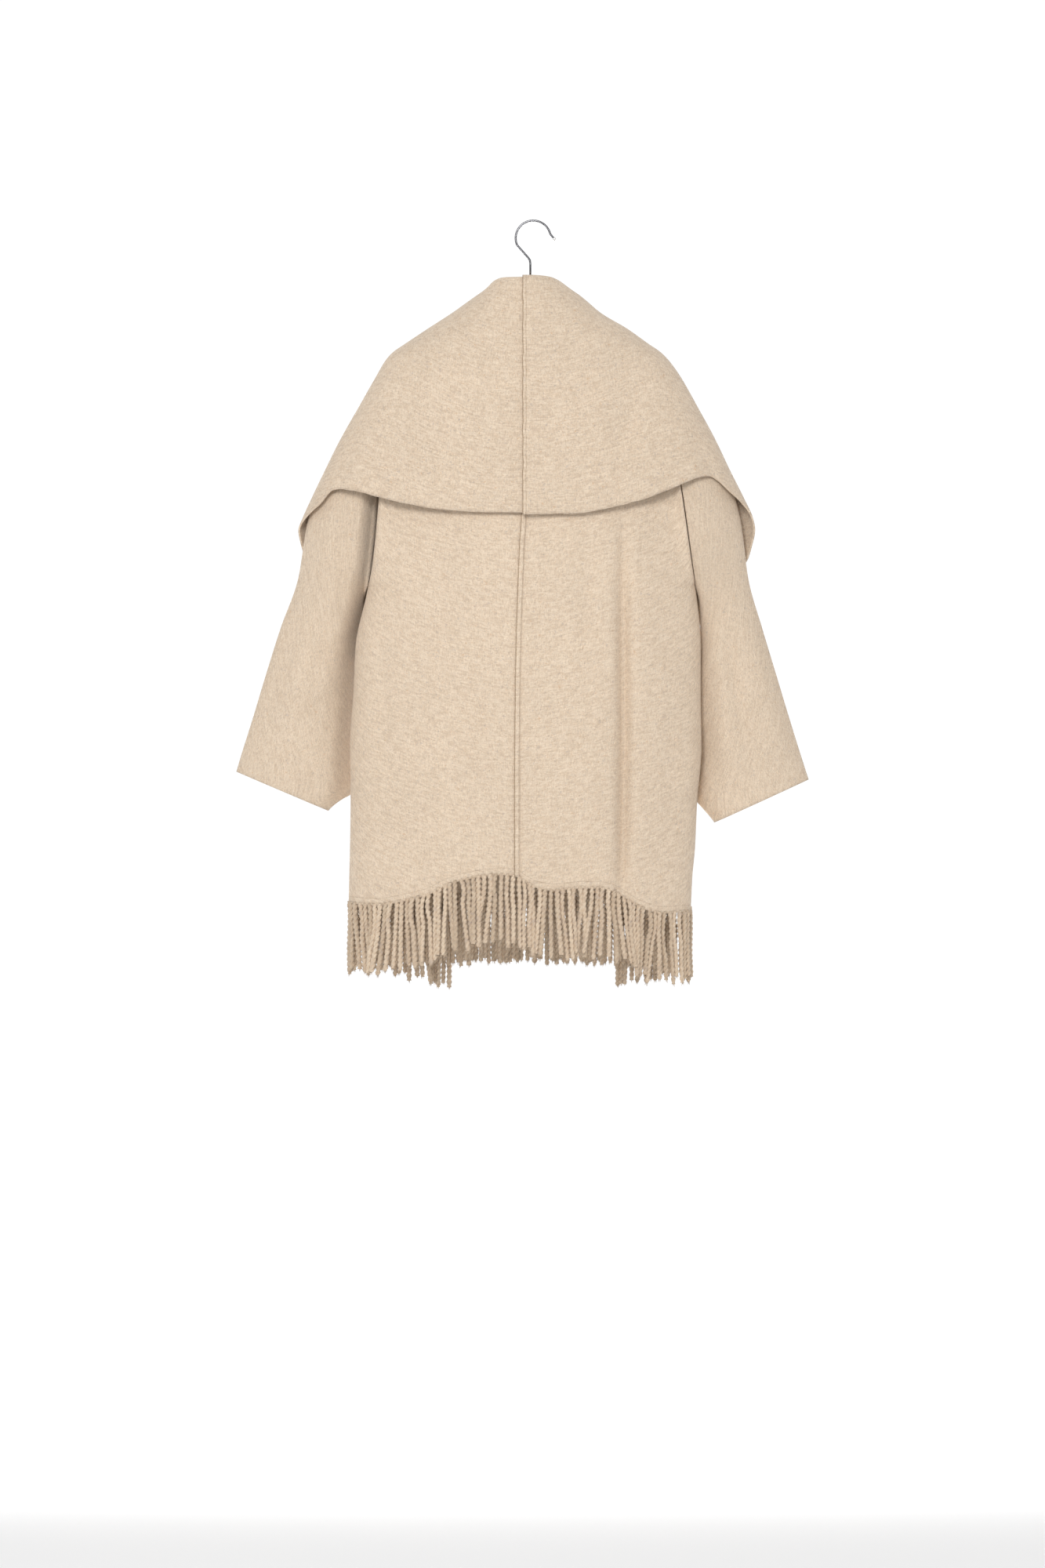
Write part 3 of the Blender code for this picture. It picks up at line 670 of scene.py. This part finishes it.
def cloth_shell(name, rows, material, edge_down=True, ring=False, lapped=False):
    """A shell of wool cloth with a flat map and its distances from the hem and from a lapped seam."""
    shape = bmesh.new()
    seam = shape.verts.layers.float.new("seam")
    flat = shape.loops.layers.uv.new("flat")
    edge = shape.verts.layers.float.new("edge")
    places = grid_on(shape, rows, ring)
    across, down = flat_lengths(rows, ring)
    for face in shape.faces:
        for loop in face.loops:
            i, j = places[loop.vert]
            loop[flat].uv = (across[j][i] * MM, down[j][i] * MM)
    for vert, (i, j) in places.items():
        reach = down[-1][i] - down[j][i] if edge_down else across[j][-1] - across[j][i]
        vert[edge] = reach * MM if edge_down and not ring else 0.0
        if lapped:
            vert[seam] = SEAM_START + (across[j][i] if edge_down else down[j][i]) * MM
    if ring:
        bmesh.ops.remove_doubles(shape, verts=shape.verts, dist=0.01 * MM)
    bmesh.ops.recalc_face_normals(shape, faces=shape.faces)
    piece = finished(name, shape, material)
    wall = piece.modifiers.new("cloth wall", "SOLIDIFY")
    wall.thickness = WALL * MM
    wall.offset = 0.0
    return piece


def add(tree, kind, sockets, **settings):
    """Adds a node; a socket given as an input takes a link, and anything else is its value."""
    made = tree.nodes.new(kind)
    for name, value in settings.items():
        setattr(made, name, value)
    for name, value in sockets.items():
        if isinstance(value, bpy.types.NodeSocket):
            tree.links.new(value, made.inputs[name])
        else:
            made.inputs[name].default_value = value
    return made


def ramp(tree, value, stops):
    """A colour ramp from (place, colour) pairs."""
    made = add(tree, "ShaderNodeValToRGB", {"Fac": value})
    while len(made.color_ramp.elements) < len(stops):
        made.color_ramp.elements.new(0.5)
    for element, (place, colour) in zip(made.color_ramp.elements, stops):
        element.position = place
        element.color = (*colour, 1.0)
    return made.outputs["Color"]


def grey(value):
    """A colour without a hue."""
    return (value, value, value)


def tinted(tree, base, layer, share, way="MULTIPLY"):
    """Lays a share of one colour over another."""
    return add(tree, "ShaderNodeMix", {0: share, 6: base, 7: layer}, data_type="RGBA",
               blend_type=way).outputs[2]


def dimmed(tree, base, pattern, low, high, dark, share=1.0):
    """Darkens the base where a pattern is low."""
    return tinted(tree, base, ramp(tree, pattern, ((low, dark), (high, grey(1.0)))), share)


def worked(tree, kind, first, second, third=0.0):
    """The result of one sum on numbers."""
    return add(tree, "ShaderNodeMath", {0: first, 1: second, 2: third}, operation=kind).outputs[0]


def object_place(tree, **laid):
    """Places on the piece in its own metres, moved or scaled as given."""
    place = add(tree, "ShaderNodeTexCoord", {}).outputs["Object"]
    if not laid:
        return place
    return add(tree, "ShaderNodeMapping", {"Vector": place, **laid}).outputs["Vector"]


def relief(tree, surface, height, strength, depth):
    """Raises the surface by a pattern, to a depth in metres."""
    raised = add(tree, "ShaderNodeBump", {"Height": height, "Strength": strength, "Distance": depth})
    tree.links.new(raised.outputs["Normal"], surface.inputs["Normal"])


def noisy(tree, place, size, detail=2.0, rough=0.5, bend=0.0):
    """Cloudy pattern with spots of about one size, in millimetres."""
    return add(tree, "ShaderNodeTexNoise", {
        "Vector": place, "Scale": 1000.0 / size, "Detail": detail, "Roughness": rough,
        "Distortion": bend}).outputs["Fac"]


def new_material(name, roughness, metal=0.0, sheen=0.0, sheen_tint=(1, 1, 1)):
    """A plain surface, given with its node tree."""
    material = bpy.data.materials.new(name)
    material.use_nodes = True
    surface = material.node_tree.nodes["Principled BSDF"]
    surface.inputs["Roughness"].default_value = roughness
    surface.inputs["Metallic"].default_value = metal
    surface.inputs["Sheen Weight"].default_value = sheen
    surface.inputs["Sheen Roughness"].default_value = 0.55
    surface.inputs["Sheen Tint"].default_value = (*sheen_tint, 1.0)
    return material, material.node_tree, surface


def streaks(tree, turn, long, fine):
    """Short fibres: a pattern drawn out in one direction of the flat cloth."""
    flat = add(tree, "ShaderNodeUVMap", {}, uv_map="flat").outputs["UV"]
    laid = add(tree, "ShaderNodeMapping", {
        "Vector": flat, "Rotation": (0, 0, math.radians(turn)), "Scale": (fine * MM, long * MM, 1)},
        vector_type="TEXTURE")
    return add(tree, "ShaderNodeTexNoise", {
        "Vector": laid.outputs["Vector"], "Scale": 1.0, "Detail": 2.0, "Roughness": 0.6,
        "Distortion": 0.6}).outputs["Fac"]


CREAM = (0.795, 0.655, 0.505)
TAN = (0.735, 0.580, 0.425)
LAVENDER = (0.670, 0.553, 0.450)
PALE = (0.845, 0.705, 0.548)
RUST = (0.60, 0.37, 0.20, 1.0)
SMOKE = (0.47, 0.40, 0.36, 1.0)
FIBRE_DARK = (0.82, 0.80, 0.79)
CROSSING_DARK = (0.85, 0.83, 0.81)
HEM_DARK = (0.88, 0.86, 0.84, 1.0)
STITCH_DARK = (0.80, 0.76, 0.72, 1.0)
CUT_EDGE_SHADOW_DARK = (0.56, 0.50, 0.44, 1.0)
# each strand's own tone, set darker overall as painted shade of the dense fringe
STRAND_TONES_AND_SHADE = ((0.0, (0.72, 0.69, 0.65)), (0.5, (0.83, 0.80, 0.77)), (1.0, (0.94, 0.93, 0.91)))
BEECH = ((0.3, (0.44, 0.27, 0.13)), (0.5, (0.58, 0.39, 0.21)), (0.7, (0.66, 0.47, 0.27)))

# Lines drawn along an edge: how far from it, and half their width, in metres.
HEM_LINE = (0.0098, 0.0006)
# the cut edge's line is partly the cut fibre's darker tone and partly painted shadow of the lapped edge's
# step
CUT_EDGE_SHADOW_LINE = (0.0004, 0.0007)
STITCH_HALF = 0.0005


def line_at(tree, distance, place, half):
    """1 on a line at one distance, in metres, and 0 elsewhere."""
    return worked(tree, "COMPARE", distance, place, half)


def wool_material(name, brightness, fleck, slub, stitch_place, weft):
    """Brushed melange wool: cloudy cream, tan and grey, with fine specks and fibres."""
    material, tree, surface = new_material(name, 0.94, sheen=0.28, sheen_tint=(1.0, 0.93, 0.84))
    place = object_place(tree)
    clouds = add(tree, "ShaderNodeMix", {
        0: 0.42, 2: noisy(tree, place, 3.4, 5.0, 0.7, 0.2), 3: streaks(tree, weft, 14.0, 3.6)},
        data_type="FLOAT").outputs[0]
    base = ramp(tree, clouds, (
        (0.34, LAVENDER), (0.44, TAN), (0.51, CREAM), (0.58, PALE), (0.70, TAN)))
    base = dimmed(tree, base, noisy(tree, place, 70.0), 0.3, 0.7, grey(0.965))
    spots = noisy(tree, place, 2.2, 2.0, 0.6)
    base = dimmed(tree, base, spots, 0.33, 0.55, grey(0.86), 0.75 * fleck)

    # small rust and grey specks
    elsewhere = object_place(tree, Location=(0.31, 0.17, 0.43))
    for hairs, colour, low, high, share in (
            (noisy(tree, place, 3.4, 1.0, 0.5, 0.8), RUST, 0.66, 0.74, 0.55),
            (noisy(tree, elsewhere, 3.0, 1.0, 0.5, 0.6), SMOKE, 0.64, 0.72, 0.5)):
        shown = ramp(tree, hairs, ((low, grey(0.0)), (high, grey(share * fleck))))
        base = tinted(tree, base, colour, shown, "MIX")

    # fibres both ways, and the weave's lines
    fibres = streaks(tree, weft - 82, 9.0, 1.1)
    base = dimmed(tree, base, fibres, 0.3, 0.62, FIBRE_DARK, 0.9)
    crossing = streaks(tree, weft - 6, 12.0, 1.1)
    base = dimmed(tree, base, crossing, 0.3, 0.6, CROSSING_DARK, 0.8)
    lines = streaks(tree, weft, 60.0, 2.6)
    base = dimmed(tree, base, lines, 0.35, 0.6, grey(0.93), slub)
    # overall brightness: on the collar its own tone, on the sleeves painted shade
    base = tinted(tree, base, grey(brightness) + (1.0,), 1.0)

    # hem, stitches, and a dark line at the cut edge of the lapped seam: the cut fibre's darker tone with
    # painted shadow of the edge's step
    edge = add(tree, "ShaderNodeAttribute", {}, attribute_name="edge").outputs["Fac"]
    seam = add(tree, "ShaderNodeAttribute", {}, attribute_name="seam").outputs["Fac"]
    hem_line = line_at(tree, edge, *HEM_LINE)
    stitch_line = line_at(tree, seam, SEAM_START + stitch_place, STITCH_HALF)
    cut_edge_shadow_line = line_at(tree, seam, SEAM_START + CUT_EDGE_SHADOW_LINE[0], CUT_EDGE_SHADOW_LINE[1])
    base = tinted(tree, base, HEM_DARK, hem_line)
    base = tinted(tree, base, STITCH_DARK, stitch_line)
    # painted shadow along the lapped seam's cut edge, with the cut fibre's darker tone
    base = tinted(tree, base, CUT_EDGE_SHADOW_DARK, cut_edge_shadow_line)
    tree.links.new(base, surface.inputs["Base Color"])

    height = worked(tree, "MULTIPLY", spots, 0.9)
    sewn = worked(tree, "MAXIMUM", hem_line, stitch_line)
    for layer, share in (
            (fibres, 0.8), (crossing, 0.7), (lines, 0.9 * slub), (clouds, 0.6), (sewn, -0.5)):
        height = worked(tree, "MULTIPLY_ADD", layer, share, height)
    relief(tree, surface, height, 0.55, 0.0011)
    return material


def yarn_material(name):
    """Twisted wool yarn, with its own tone on each strand, and all strands darkened as painted shade of the
    dense fringe.
    """
    material, tree, surface = new_material(name, 0.95, sheen=0.3, sheen_tint=(1.0, 0.93, 0.85))
    flat = add(tree, "ShaderNodeUVMap", {}, uv_map="flat").outputs["UV"]
    clouds = noisy(tree, object_place(tree), 6.0, 3.0, 0.6, 0.4)
    base = ramp(tree, clouds, ((0.32, LAVENDER), (0.45, TAN), (0.56, CREAM), (0.68, PALE)))
    drawn = add(tree, "ShaderNodeMapping", {"Vector": flat, "Scale": (2200.0, 260.0, 1.0)})
    hairs = add(tree, "ShaderNodeTexNoise", {
        "Vector": drawn.outputs["Vector"], "Scale": 1.0, "Detail": 2.0, "Distortion": 0.5}).outputs["Fac"]
    base = dimmed(tree, base, hairs, 0.3, 0.65, grey(0.80), 0.9)
    tone = add(tree, "ShaderNodeAttribute", {}, attribute_name="tone").outputs["Fac"]
    # the tones give each strand its own tone and darken the whole yarn as painted shade
    base = tinted(tree, base, ramp(tree, tone, STRAND_TONES_AND_SHADE), 1.0)
    tree.links.new(base, surface.inputs["Base Color"])
    relief(tree, surface, hairs, 0.5, 0.0005)
    return material


def wire_material(name, colour, roughness):
    """Polished metal with faint wear along the wire."""
    material, tree, surface = new_material(name, roughness, metal=1.0)
    wear = noisy(tree, object_place(tree, Scale=(1.0, 1.0, 0.15)), 1.2, 3.0, 0.6)
    base = ramp(tree, wear, ((0.35, tuple(0.9 * c for c in colour)), (0.6, colour)))
    tree.links.new(base, surface.inputs["Base Color"])
    spread = add(tree, "ShaderNodeMapRange", {
        "Value": wear, "To Min": roughness, "To Max": roughness + 0.12}).outputs["Result"]
    tree.links.new(spread, surface.inputs["Roughness"])
    return material


def wood_material(name):
    """Waxed beech: grain along the bar, with short darker flecks."""
    material, tree, surface = new_material(name, 0.42)
    surface.inputs["Coat Weight"].default_value = 0.25
    grain = noisy(tree, object_place(tree, Scale=(0.06, 1.0, 1.0)), 3.0, 4.0, 0.6, 0.8)
    flecks = noisy(tree, object_place(tree, Scale=(0.18, 1.0, 1.0)), 0.9, 1.0)
    base = dimmed(tree, ramp(tree, grain, BEECH), flecks, 0.30, 0.40, grey(0.72), 0.7)
    tree.links.new(base, surface.inputs["Base Color"])
    relief(tree, surface, grain, 0.15, 0.0004)
    return material


body_wool = wool_material("brushed wool", 1.0, 0.85, 0.5, 0.0062, 90)
collar_wool = wool_material("brushed wool of the collar", 0.985, 1.0, 0.8, 0.0050, 0)
# The sleeves' wool is the body's wool made 1.5 percent darker: painted shade of the sleeves.
shaded_sleeve_wool = wool_material("brushed wool of the sleeves, painted darker as shade", 0.985, 0.85, 0.5, 0.0062, 90)
hem_yarn = yarn_material("twisted wool yarn")
beech = wood_material("waxed beech")
# The chromed wire's near-black base colour is painted reflection of dark surroundings.
chrome_painted_dark = wire_material("polished wire with painted dark reflection", (0.17, 0.17, 0.18), 0.16)
tip_finish = wire_material("pale hook tip", (0.93, 0.92, 0.90), 0.35)

BACK_ANGLES = SEAM_ANGLES + tuple(spaced((SEAM_ANGLES[-1], 90), BODY_ANGLE_STEP))[1:]
LEFT_BACK_ANGLES = tuple(spaced((0, 90), BODY_ANGLE_STEP))
FRONT_ANGLES = tuple(spaced((90, 180), BODY_ANGLE_STEP))
PANEL_LEVELS = spaced(BODY_LEVELS, BODY_LEVEL_STEP)

cloth = {}
hems = {}
for word in SIDES:
    angles = BACK_ANGLES if word == "right" else LEFT_BACK_ANGLES
    back = [[body_place(word, BACK, back_hem, a, level) for a in angles] for level in PANEL_LEVELS]
    front = [[body_place(word, FRONT, front_hem, a, level) for a in FRONT_ANGLES] for level in PANEL_LEVELS]
    collar = collar_rows(word)
    sleeve = [sleeve_ring(word, station) for station in spaced(SLEEVE_STATIONS, SLEEVE_STEP)]
    cloth["back_" + word] = cloth_shell(
        "back_" + word + "_wool", back, body_wool, lapped=word == "right")
    cloth["front_" + word] = cloth_shell("front_" + word + "_wool", front, body_wool)
    cloth["sleeve_" + word] = cloth_shell(
        "sleeve_" + word + "_wool", sleeve, shaded_sleeve_wool, ring=True)
    cloth["collar_" + word] = cloth_shell(
        "collar_" + word + "_wool", collar, collar_wool, edge_down=False,
        lapped=word == "right")
    hems["back_" + word] = [p for p, a in zip(back[-1], angles) if a >= 0]
    hems["front_" + word] = front[-1]
    hems["lapel_" + word] = collar[-1][NECK_END:]
for node, piece in cloth.items():
    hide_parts(node)


# Fringe: strands of two twisted plies, which start inside the hem.
STRAND_PITCH = {"back": 8.2, "front": 5.2, "lapel": 7.6}
STRAND_STRAY = {"back": 1.0, "front": 0.3, "lapel": 0.8}
STRAND_LENGTH = 95.0
STRAND_FREE = 4                 # strands at either end of a hem that lean less
STRAND_RINGS = 26
STRAND_THICK = (0.9, 1.12)

# Waves have a size and a turn from strand to strand, and strays are random.
LEAN_WAVES = ((4.0, 0.4), (0.5, 2.1))
LEAN_SWING = (7.0, 0.62)
LEAN_STRAY = 4.5
LEAN_POWER = 1.4
SWAY_WAVE = (1.6, 0.7)
SWAY_STRAY = 3.4
LENGTH_WAVE = (4.0, 2.3)
LENGTH_STRAY = (-5.0, 2.0)
ROOT_RISE = 2.5
ROOT_MARGIN = 2.5
ROOT_STRAY = 0.9
KINK_STRAY = 3.2
KINK_PLACE = (0.3, 0.7)
WOBBLE = (0.5, 7)
FRINGE_PHASES = {"back": (0.6, 0.0), "front": (1.0, 1.9), "lapel": (1.0, 3.1)}
PLY_RADIUS = 2.55
PLY_OFFSET = 1.4
PLY_TOP = 0.82
PLY_FOOT = 0.75
PLY_SIDES = 6
PLY_MAP = (0.0011, 0.0036)      # flat size of one face of a ply, in metres
PLY_MAP_SHIFT = (0.013, 0.4)
TWIST_LENGTH = 15.0

# Loose hairs at the foot of each strand.
HAIRS = 10
HAIR_REACH = (2.0, 6.0)
HAIR_RISE = (0.5, 3.0)
HAIR_RADII = (0.42, 0.08)
FIRST_SEED = 100


def along(line, distance):
    """The point at one distance along a line of points, and the line's level direction there."""
    for start, end in zip(line, line[1:]):
        length = (end - start).length
        if distance <= length or end is line[-1]:
            direction = Vector((end.x - start.x, end.y - start.y, 0)).normalized()
            return start.lerp(end, min(distance / length, 1.0)), direction
        distance -= length
    raise ValueError("the line has no length")


def strand_line(rng, hem, length, strand, count, phase, seed, stray):
    """The centre line of one strand, and the directions along and out of its hem."""
    free = min(1.0, strand / STRAND_FREE, (count - 1 - strand) / STRAND_FREE)
    lean = free * sum(reach * math.sin(turn * strand + phase) for reach, turn in LEAN_WAVES)
    swing = LEAN_SWING[0] * math.sin(LEAN_SWING[1] * strand + seed)
    lean += (rng.uniform(-LEAN_STRAY, LEAN_STRAY) + swing) * free
    lean *= stray
    sway = SWAY_WAVE[0] * math.sin(SWAY_WAVE[1] * strand + 2 * phase)
    sway += rng.uniform(-SWAY_STRAY, SWAY_STRAY)
    drop = STRAND_LENGTH + LENGTH_WAVE[0] * math.sin(LENGTH_WAVE[1] * strand + phase)
    drop += rng.uniform(*LENGTH_STRAY)
    place = (strand + 0.5) * (length / count) + rng.uniform(-ROOT_STRAY, ROOT_STRAY)
    root, direction = along(hem, min(max(place, ROOT_MARGIN), length - ROOT_MARGIN))
    normal = Vector((direction.y, -direction.x, 0))
    kink = rng.uniform(-KINK_STRAY, KINK_STRAY)
    kink_place = rng.uniform(*KINK_PLACE)
    line = []
    for k in range(STRAND_RINGS + 1):
        share = k / STRAND_RINGS
        side_step = lean * share ** LEAN_POWER
        side_step += kink * math.sin(math.pi * min(share / kink_place, 1.0))
        out = sway * share + WOBBLE[0] * math.sin(WOBBLE[1] * share + strand)
        down = (ROOT_RISE + drop) * share - ROOT_RISE
        line.append(root + direction * side_step + normal * out - Vector((0, 0, down)))
    return line, direction, normal


def ply_rows(centre_line, direction, normal, start_turn, thick):
    """Rings of one ply, winding round the strand's centre line."""
    rows = []
    last = len(centre_line) - 1
    fallen = 0.0
    for k, centre in enumerate(centre_line):
        if k:
            fallen += (centre - centre_line[k - 1]).length
        turn = start_turn + math.tau * fallen / TWIST_LENGTH
        aside = direction * math.cos(turn) + normal * math.sin(turn)
        middle = centre + PLY_OFFSET * thick * aside
        size = PLY_RADIUS * thick
        if k == 0:
            size *= PLY_TOP
        if k == last:
            size *= PLY_FOOT
        ring = []
        for i in range(PLY_SIDES):
            spin = math.tau * i / PLY_SIDES
            ring.append(middle + size * (direction * math.cos(spin) + normal * math.sin(spin)))
        rows.append(ring)
    return rows


def add_hair(shape, rng, foot, direction, normal):
    """One loose hair below the foot of a strand."""
    spread = rng.uniform(-1.0, 1.0)
    out = rng.uniform(-1.0, 1.0)
    reach = rng.uniform(*HAIR_REACH)
    begin = foot + direction * spread + normal * out + Vector((0, 0, rng.uniform(*HAIR_RISE)))
    end = begin + direction * (spread + rng.uniform(-1, 1)) + normal * out - Vector((0, 0, reach))
    axis = end - begin
    top, tip = HAIR_RADII
    verts = bmesh.ops.create_cone(
        shape, cap_ends=False, segments=3, radius1=top * MM, radius2=tip * MM,
        depth=axis.length * MM)["verts"]
    turned = axis.normalized().to_track_quat("Z", "Y").to_matrix()
    bmesh.ops.rotate(shape, verts=verts, matrix=turned, cent=(0, 0, 0))
    bmesh.ops.translate(shape, verts=verts, vec=(begin + axis / 2) * MM)
    return verts


def fringe(name, hem, phase, seed, kind):
    """The strands that hang from one hem."""
    rng = random.Random(seed)
    length = sum((end - start).length for start, end in zip(hem, hem[1:]))
    count = round(length / STRAND_PITCH[kind])
    shape = bmesh.new()
    flat = shape.loops.layers.uv.new("flat")
    tone_layer = shape.verts.layers.float.new("tone")
    for strand in range(count):
        line, direction, normal = strand_line(
            rng, hem, length, strand, count, phase, seed, STRAND_STRAY[kind])
        tone = rng.random()
        thick = rng.uniform(*STRAND_THICK)
        start_turn = rng.uniform(0, math.tau)
        for ply in (0, 1):
            rows = ply_rows(line, direction, normal, start_turn + math.pi * ply, thick)
            places = grid_on(shape, rows, ring=True)
            faces = {face for vert in places for face in vert.link_faces}
            for vert in places:
                vert[tone_layer] = tone
            for face in faces:
                for loop in face.loops:
                    i, j = places[loop.vert]
                    loop[flat].uv = (i * PLY_MAP[0] + strand * PLY_MAP_SHIFT[0],
                                     j * PLY_MAP[1] + ply * PLY_MAP_SHIFT[1])
        for _ in range(HAIRS):
            for vert in add_hair(shape, rng, line[-1], direction, normal):
                vert[tone_layer] = tone
    bmesh.ops.remove_doubles(shape, verts=shape.verts, dist=0.004 * MM)
    bmesh.ops.recalc_face_normals(shape, faces=shape.faces)
    return finished(name, shape, hem_yarn)


# Hanger: a shaped bar and a bent wire hook.
WIRE = 3.0
LOOP_RADIUS = 24.6
LOOP_ENDS = (14, 204)
HOOK_TIP = (29.7, -24.2)
TIP_TURN = (-2.2, 2.4)
STEM_X = -4.0
STEM_BEND = -54.0
STEM_TURNS = ((-3.0, 3.4), (-0.7, 0.0), (0.0, -4.5))
STEM_FOOT = -108.0
TIP_RADIUS = 2.2


def hook_line():
    """The middle of the wire, from the tip over the loop to the foot of the stem."""
    middle = WIRE / 2 - LOOP_RADIUS
    line = [Vector((HOOK_TIP[0], 0, HOOK_TIP[1]))]
    line.append(line[0] + Vector((TIP_TURN[0], 0, TIP_TURN[1])))
    for degrees in spaced(LOOP_ENDS, 5):
        turn = math.radians(degrees)
        line.append(Vector((LOOP_RADIUS * math.cos(turn), 0, middle + LOOP_RADIUS * math.sin(turn))))
    line.extend(Vector((STEM_X + across, 0, STEM_BEND + rise)) for across, rise in STEM_TURNS)
    line.append(Vector((STEM_X, 0, STEM_FOOT)))
    return line


def tube_rows(line, radius, sides):
    """Rings of points round a line in the plane of the hook."""
    turns = [math.tau * i / sides for i in range(sides)]
    rows = []
    for k, middle in enumerate(line):
        before = line[max(k - 1, 0)]
        after = line[min(k + 1, len(line) - 1)]
        run = (after - before).normalized()
        out = Vector((0, 1, 0))
        over = run.cross(out)
        rows.append([middle + radius * (out * math.cos(t) + over * math.sin(t)) for t in turns])
    return rows


hook_shape = bmesh.new()
grid_on(hook_shape, tube_rows(hook_line(), WIRE / 2, 16), ring=True)
bmesh.ops.remove_doubles(hook_shape, verts=hook_shape.verts, dist=0.005 * MM)
bmesh.ops.holes_fill(hook_shape, edges=hook_shape.edges, sides=0)
bmesh.ops.recalc_face_normals(hook_shape, faces=hook_shape.faces)
hook = finished("hook_wire", hook_shape, chrome_painted_dark)
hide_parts("hanger_hook")
tip_shape = bmesh.new()
bmesh.ops.create_uvsphere(tip_shape, u_segments=20, v_segments=12, radius=TIP_RADIUS * MM)
bmesh.ops.scale(tip_shape, vec=(1.0, 1.0, 1.15), verts=tip_shape.verts)
bmesh.ops.translate(tip_shape, vec=Vector((HOOK_TIP[0], 0, HOOK_TIP[1])) * MM, verts=tip_shape.verts)
finished("hook_tip", tip_shape, tip_finish)
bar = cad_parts["hanger_body"]
bar.data.materials.clear()
bar.data.materials.append(beech)

for number, (key, hem) in enumerate(hems.items()):
    kind, word = key.split("_")
    sign, start = FRINGE_PHASES[kind]
    base = sign * SIDES[word]
    piece = fringe(kind + "_fringe_" + word + "_yarn", hem, start + base, FIRST_SEED + number, kind)
    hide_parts(kind + "_fringe_" + word)

# Stage, light and camera.
floor_shape = bmesh.new()
bmesh.ops.create_grid(floor_shape, x_segments=1, y_segments=1, size=9.0)
floor_mesh = bpy.data.meshes.new("floor")
floor_shape.to_mesh(floor_mesh)
floor_shape.free()
floor = bpy.data.objects.new("floor", floor_mesh)
floor.location = (0, 3.0, -1.9)
bpy.context.scene.collection.objects.link(floor)
floor_paint, _, floor_surface = new_material("pale floor", 0.9)
floor_surface.inputs["Base Color"].default_value = (0.93, 0.93, 0.93, 1.0)
floor_mesh.materials.append(floor_paint)

world = bpy.data.worlds.new("studio")
world.use_nodes = True
bpy.context.scene.world = world
sky = world.node_tree
direction = add(sky, "ShaderNodeTexCoord", {}).outputs["Generated"]
parts = add(sky, "ShaderNodeSeparateXYZ", {"Vector": direction})
behind = add(sky, "ShaderNodeMapRange", {
    "Value": parts.outputs["Y"], "From Min": -0.2, "From Max": 0.55, "To Min": 0.50, "To Max": 1.04})
sky.links.new(behind.outputs["Result"], sky.nodes["Background"].inputs["Strength"])
sky.nodes["Background"].inputs["Color"].default_value = (1.0, 1.0, 1.0, 1.0)


def soft_light(name, power, size, location, target, beam):
    """A round lamp, with the width of its beam in degrees."""
    data = bpy.data.lights.new(name, "AREA")
    data.energy = power
    data.spread = math.radians(beam)
    data.shape = "DISK"
    data.size = size
    lamp = bpy.data.objects.new(name, data)
    lamp.location = location
    lamp.rotation_euler = (Vector(target) - Vector(location)).to_track_quat("-Z", "Y").to_euler()
    bpy.context.scene.collection.objects.link(lamp)


soft_light("key", 109.0, 1.5, (-0.5, -4.1, 1.0), (0, 0, -0.5), 180)
soft_light("floor wash", 1500.0, 11.0, (0, 7.5, 4.5), (0, 7.5, -1.9), 34)

camera_data = bpy.data.cameras.new("camera")
camera_data.lens = 144.0
camera_data.sensor_width = 36.0
camera = bpy.data.objects.new("camera", camera_data)
camera.location = (-0.015, -8.8, -0.789)
camera.rotation_euler = (math.radians(90), 0, 0)
bpy.context.scene.collection.objects.link(camera)
bpy.context.scene.camera = camera
bpy.context.scene.view_settings.view_transform = "Standard"
